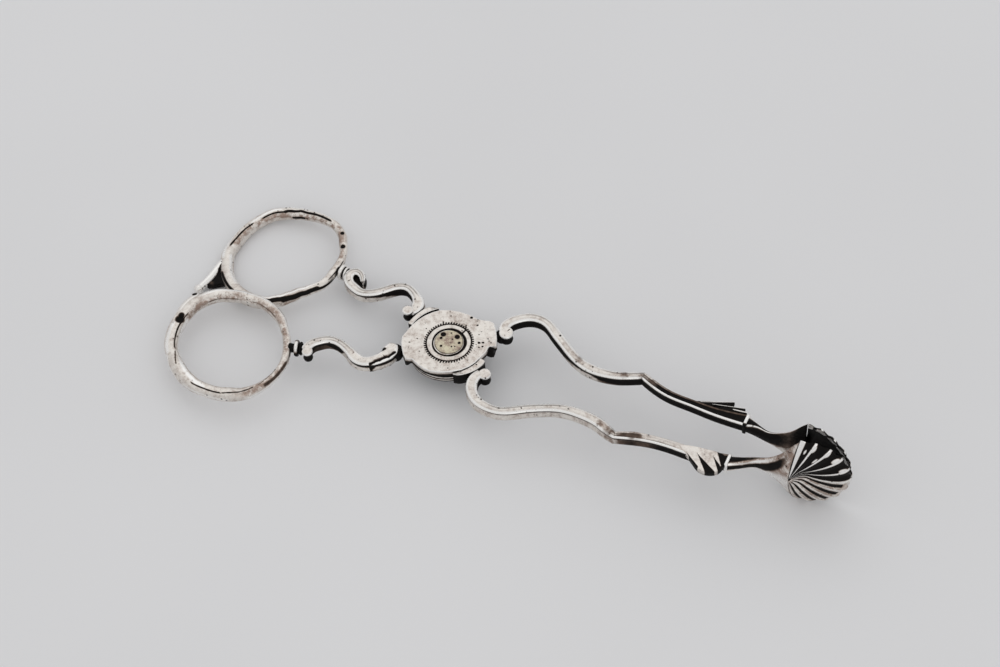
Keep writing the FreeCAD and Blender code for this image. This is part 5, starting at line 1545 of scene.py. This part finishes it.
def finish_of(name):
    """A finish by name, made with the shared group on first use."""
    if name in bpy.data.materials:
        return bpy.data.materials[name]
    look = bpy.context.scene.nipper_look
    group = bpy.data.node_groups.get("tarnish_and_painted_light") or old_silver_group()
    silver = tuple(look.silver)
    stained = tuple(look.stained)
    if name == "gilt silver":
        silver = tuple(look.gilt)
    return silver_material(name, group, silver, stained, look.stain, look.pits)


def floor_material(colour):
    """Plain matt paper with the faintest unevenness."""
    material = bpy.data.materials.new("studio_floor")
    material.use_nodes = True
    tree = material.node_tree
    shader = tree.nodes["Principled BSDF"]
    place = put(tree, "ShaderNodeTexCoord", (-800, 0)).outputs["Object"]
    soft = noise(tree, (-600, 0), place, 9.0, 2.0)
    shade = ranged(tree, (-400, 0), soft, 0.3, 0.7)
    paler = tuple(min(1.0, c * 1.03) for c in colour)
    tree.links.new(mixed(tree, (-200, 0), shade, colour, paler), shader.inputs["Base Color"])
    shader.inputs["Roughness"].default_value = 0.85
    shader.inputs["Specular IOR Level"].default_value = 0.2
    return material


# ------------------------------------------------------------------------------- add-on
class NipperLook(bpy.types.PropertyGroup):
    """Colours and amounts of the silver's finish."""

    silver: bpy.props.FloatVectorProperty(
        name="Silver", description="Clean silver", subtype="COLOR", size=3, min=0.0, max=1.0,
        default=(0.83, 0.79, 0.74))
    stained: bpy.props.FloatVectorProperty(
        name="Stain colour", description="Pinkish brown of handled silver", subtype="COLOR",
        size=3, min=0.0, max=1.0, default=(0.36, 0.27, 0.225))
    gilt: bpy.props.FloatVectorProperty(
        name="Gilt stain", description="Yellowed silver of the rosette", subtype="COLOR",
        size=3, min=0.0, max=1.0, default=(0.66, 0.61, 0.46))
    stain: bpy.props.FloatProperty(
        name="Stain", description="How much of the surface is stained", subtype="FACTOR",
        min=0.0, max=1.0, default=0.66)
    pits: bpy.props.FloatProperty(
        name="Pits", description="How dark the small casting pits are", subtype="FACTOR",
        min=0.0, max=1.0, default=0.95)


class NipperStage(bpy.types.PropertyGroup):
    """Floor, light and camera."""

    floor: bpy.props.FloatVectorProperty(
        name="Floor", description="Floor colour", subtype="COLOR", size=3, min=0.0, max=1.0,
        default=(0.80, 0.80, 0.81))
    sky: bpy.props.FloatProperty(
        name="Sky", description="Strength of the surrounding light", min=0.0, max=5.0, default=0.75)
    key: bpy.props.FloatProperty(
        name="Key", description="Power of the large soft lamp", unit="POWER", min=0.0, default=0.16)
    fill: bpy.props.FloatProperty(
        name="Fill", description="Power of the lamp on the camera's side", unit="POWER", min=0.0,
        default=0.28)
    lens: bpy.props.FloatProperty(
        name="Lens", description="Focal length in millimetres", unit="CAMERA", min=10.0,
        max=500.0, default=91.25)


class NIPPER_OT_plates(bpy.types.Operator):
    """Build the two lapped joint plates, the rivet and its rosette"""

    bl_idname = "nipper.plates"
    bl_label = "Joint"

    def execute(self, context):
        hand_over(top_plate(finish_of("old silver")), "top_joint_plate", "top_arm")
        hand_over(under_plate(finish_of("old silver")), "under_joint_plate", "under_arm")
        hand_over(rosette(finish_of("gilt silver")), "pivot_rosette", "top_arm")
        hand_over(rivet(finish_of("worn silver")), "pivot_pin", "top_arm")
        return {"FINISHED"}


class NIPPER_OT_handles(bpy.types.Operator):
    """Build the two scrolled handles between the joint and the collars"""

    bl_idname = "nipper.handles"
    bl_label = "Handle scrolls"

    def execute(self, context):
        silver = finish_of("old silver")
        near = scroll_piece(
            "near_handle", silver, TOP_HANDLE, 1.0, (TOP_HANDLE_FRONT, BACK_SIDE_SHADE),
            TOP_HANDLE_EYE, TOP_HANDLE_FOOT, HANDLE_PITS, cuts=HANDLE_CUTS,
            ridges=HANDLE_RIDGES, cap=(0.5, 0.5))
        hand_over(near, "top_handle_scroll", "top_arm")
        far = scroll_piece(
            "far_handle", silver, UNDER_HANDLE, 1.0, (UNDER_HANDLE_FRONT, PLAIN_SIDE),
            UNDER_HANDLE_EYE, UNDER_HANDLE_FOOT, FAR_HANDLE_PITS, shade_sheet=CURL_SHADE_SHEET, set_down=True,
            cap=(0.4, 0.3))
        hand_over(far, "under_handle_scroll", "under_arm")
        return {"FINISHED"}


class NIPPER_OT_shanks(bpy.types.Operator):
    """Build the scrolled shanks between the joint and the knuckles"""

    bl_idname = "nipper.shanks"
    bl_label = "Scrolled shanks"

    def execute(self, context):
        silver = finish_of("old silver")
        far = scroll_piece(
            "far_shank", silver, TOP_SHANK, -1.0, (TOP_SHANK_FRONT, PLAIN_SIDE), TOP_SHANK_EYE,
            TOP_SHANK_FOOT, FAR_SHANK_PITS, WARM_PATCHES["far_shank"], square_last=True)
        hand_over(far, "top_upper_shank", "top_arm")
        near = scroll_piece(
            "near_shank", silver, UNDER_SHANK, -1.0, (UNDER_SHANK_FRONT, BACK_SIDE_SHADE),
            UNDER_SHANK_EYE, UNDER_SHANK_FOOT, NEAR_SHANK_PITS, WARM_PATCHES["near_shank"],
            square_last=True)
        hand_over(near, "under_upper_shank", "under_arm")
        return {"FINISHED"}


class NIPPER_OT_rings(bpy.types.Operator):
    """Build the finger rings and their stops"""

    bl_idname = "nipper.rings"
    bl_label = "Finger rings"

    def execute(self, context):
        silver = finish_of("old silver")
        hand_over(top_ring(silver), "top_finger_ring", "top_arm")
        hand_over(under_ring(silver), "under_finger_ring", "under_arm")
        hand_over(near_stop(silver), "top_ring_stop", "top_arm")
        hand_over(far_stop(silver), "under_ring_stop", "under_arm")
        return {"FINISHED"}


class NIPPER_OT_collars(bpy.types.Operator):
    """Build the turned collars between the rings and the handles"""

    bl_idname = "nipper.collars"
    bl_label = "Collars"

    def execute(self, context):
        silver = finish_of("old silver")
        near = collar_piece("near_collar", silver, (-25.57, -10.95), 17.0, 2.75, False, 1.0)
        hand_over(near, "top_collar", "top_arm")
        far = collar_piece("far_collar", silver, (-25.6, 8.2), -3.0, 2.35, True, 0.0)
        hand_over(far, "under_collar", "under_arm")
        return {"FINISHED"}


class NIPPER_OT_lower_shanks(bpy.types.Operator):
    """Build the straight shanks with their leaves"""

    bl_idname = "nipper.lower_shanks"
    bl_label = "Straight shanks"

    def execute(self, context):
        silver = finish_of("old silver")
        far = lower_shank_piece(
            "far_lower_shank", silver, TOP_LOWER, TOP_FLANGE, TOP_LOWER_FRONT,
            [(0.0, 0.3), (0.12, 0.45), (0.2, 0.8), (1.0, 0.95)], TOP_LEAVES, [(36.0, 5.3, 1.0)])
        hand_over(far, "top_lower_shank", "top_arm")
        near = lower_shank_piece(
            "near_lower_shank", silver, UNDER_LOWER, UNDER_FLANGE, UNDER_LOWER_FRONT,
            [(0.0, 0.2), (0.08, 0.5), (0.2, 0.5), (0.28, 0.1), (0.6, 0.1), (0.8, 0.35), (1.0, 0.9)],
            [], [(37.0, -6.2, 1.4)])
        hand_over(near, "under_lower_shank", "under_arm")
        return {"FINISHED"}


class NIPPER_OT_necks(bpy.types.Operator):
    """Build the necks, each with its plain band and the flare behind the shell"""

    bl_idname = "nipper.necks"
    bl_label = "Necks"

    def execute(self, context):
        silver = finish_of("old silver")
        far = neck_piece("far_neck", silver, 3.9, 1.0, FAR_NECK_STRIPES, True)
        hand_over(far, "top_neck", "top_arm")
        near = neck_piece("near_neck", silver, -4.7, -1.0, NEAR_NECK_STRIPES, False)
        hand_over(near, "under_neck", "under_arm")
        return {"FINISHED"}


class NIPPER_OT_shells(bpy.types.Operator):
    """Build the fluted shells"""

    bl_idname = "nipper.shells"
    bl_label = "Shells"

    def execute(self, context):
        silver = finish_of("old silver")
        hand_over(shell_piece("far_shell", silver, 1.0), "top_shell_bowl", "top_arm")
        hand_over(shell_piece("near_shell", silver, -1.0), "under_shell_bowl", "under_arm")
        return {"FINISHED"}


class NIPPER_OT_stage(bpy.types.Operator):
    """Build the floor, the soft light and the camera at the photograph's angle"""

    bl_idname = "nipper.stage"
    bl_label = "Stage"

    def execute(self, context):
        stage = context.scene.nipper_stage
        reach = 2.5
        slope = np.array([-0.0382, 0.0])
        level = -3.87 * MM
        corners = np.array([(-reach, -reach), (reach, -reach), (reach, reach), (-reach, reach)])
        heights = level + corners @ slope
        mesh = bpy.data.meshes.new("floor")
        mesh.from_pydata(np.column_stack([corners, heights]).tolist(), [], [(0, 1, 2, 3)])
        mesh.materials.append(floor_material(tuple(stage.floor)))
        floor = bpy.data.objects.new("floor", mesh)
        context.scene.collection.objects.link(floor)

        world = bpy.data.worlds.new("studio")
        context.scene.world = world
        world.use_nodes = True
        tree = world.node_tree
        tree.nodes.clear()
        place = put(tree, "ShaderNodeTexCoord", (-800, 0)).outputs["Generated"]
        split = put(tree, "ShaderNodeSeparateXYZ", (-600, 0))
        tree.links.new(place, split.inputs[0])
        climb = ranged(tree, (-400, 0), split.outputs["Z"], -0.1, 0.9)
        glow = mixed(tree, (-200, 0), climb, (0.85, 0.85, 0.86), (1.0, 1.0, 1.0))
        back = put(tree, "ShaderNodeBackground", (0, 0))
        back.inputs["Strength"].default_value = stage.sky
        tree.links.new(glow, back.inputs["Color"])
        out = put(tree, "ShaderNodeOutputWorld", (200, 0))
        tree.links.new(back.outputs[0], out.inputs[0])

        for name, place, size, power in (
            ("key", (-0.22, 0.34, 0.52), 0.5, stage.key), ("fill", (0.5, -0.5, 0.45), 0.5, stage.fill),
        ):
            lamp = bpy.data.lights.new(name, "AREA")
            lamp.shape = "SQUARE"
            lamp.size = size
            lamp.energy = power
            holder = bpy.data.objects.new(name, lamp)
            holder.location = place
            away = Vector(place) - Vector((0.012, 0.0, 0.0))
            holder.rotation_euler = away.to_track_quat("Z", "Y").to_euler()
            context.scene.collection.objects.link(holder)

        lens = bpy.data.cameras.new("camera")
        lens.lens = stage.lens
        lens.sensor_width = 36.0
        lens.clip_start = 0.01
        camera = bpy.data.objects.new("camera", lens)
        camera.matrix_world = Matrix((
            (0.91321, -0.30152, 0.27412, 0.1276035),
            (0.40492, 0.74702, -0.52726, -0.2254949),
            (-0.0458, 0.59249, 0.80427, 0.3539605),
            (0.0, 0.0, 0.0, 1.0)))
        context.scene.collection.objects.link(camera)
        context.scene.camera = camera
        context.scene.view_settings.view_transform = "Standard"
        return {"FINISHED"}


class NIPPER_PT_panel(bpy.types.Panel):
    """The nippers' pieces, finish and stage"""

    bl_label = "Sugar nippers"
    bl_idname = "NIPPER_PT_panel"
    bl_space_type = "VIEW_3D"
    bl_region_type = "UI"
    bl_category = "Nippers"

    def draw(self, context):
        column = self.layout.column()
        for name in ("silver", "stained", "gilt", "stain", "pits"):
            column.prop(context.scene.nipper_look, name)
        for name in ("floor", "sky", "key", "fill", "lens"):
            column.prop(context.scene.nipper_stage, name)
        for builder in BUILDERS:
            column.operator(builder.bl_idname)


BUILDERS = (
    NIPPER_OT_stage, NIPPER_OT_plates, NIPPER_OT_handles, NIPPER_OT_shanks, NIPPER_OT_rings,
    NIPPER_OT_collars, NIPPER_OT_lower_shanks, NIPPER_OT_necks, NIPPER_OT_shells,
)
CLASSES = (NipperLook, NipperStage, *BUILDERS, NIPPER_PT_panel)


def register():
    """Register every class and hang the properties on the scene."""
    for entry in CLASSES:
        bpy.utils.register_class(entry)
    bpy.types.Scene.nipper_look = bpy.props.PointerProperty(type=NipperLook)
    bpy.types.Scene.nipper_stage = bpy.props.PointerProperty(type=NipperStage)


def unregister():
    """Take the properties and classes away again."""
    del bpy.types.Scene.nipper_stage
    del bpy.types.Scene.nipper_look
    for entry in reversed(CLASSES):
        bpy.utils.unregister_class(entry)


def main():
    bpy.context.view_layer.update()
    register()
    for builder in BUILDERS:
        group, name = builder.bl_idname.split(".")
        getattr(getattr(bpy.ops, group), name)()


if __name__ == "__main__":
    main()
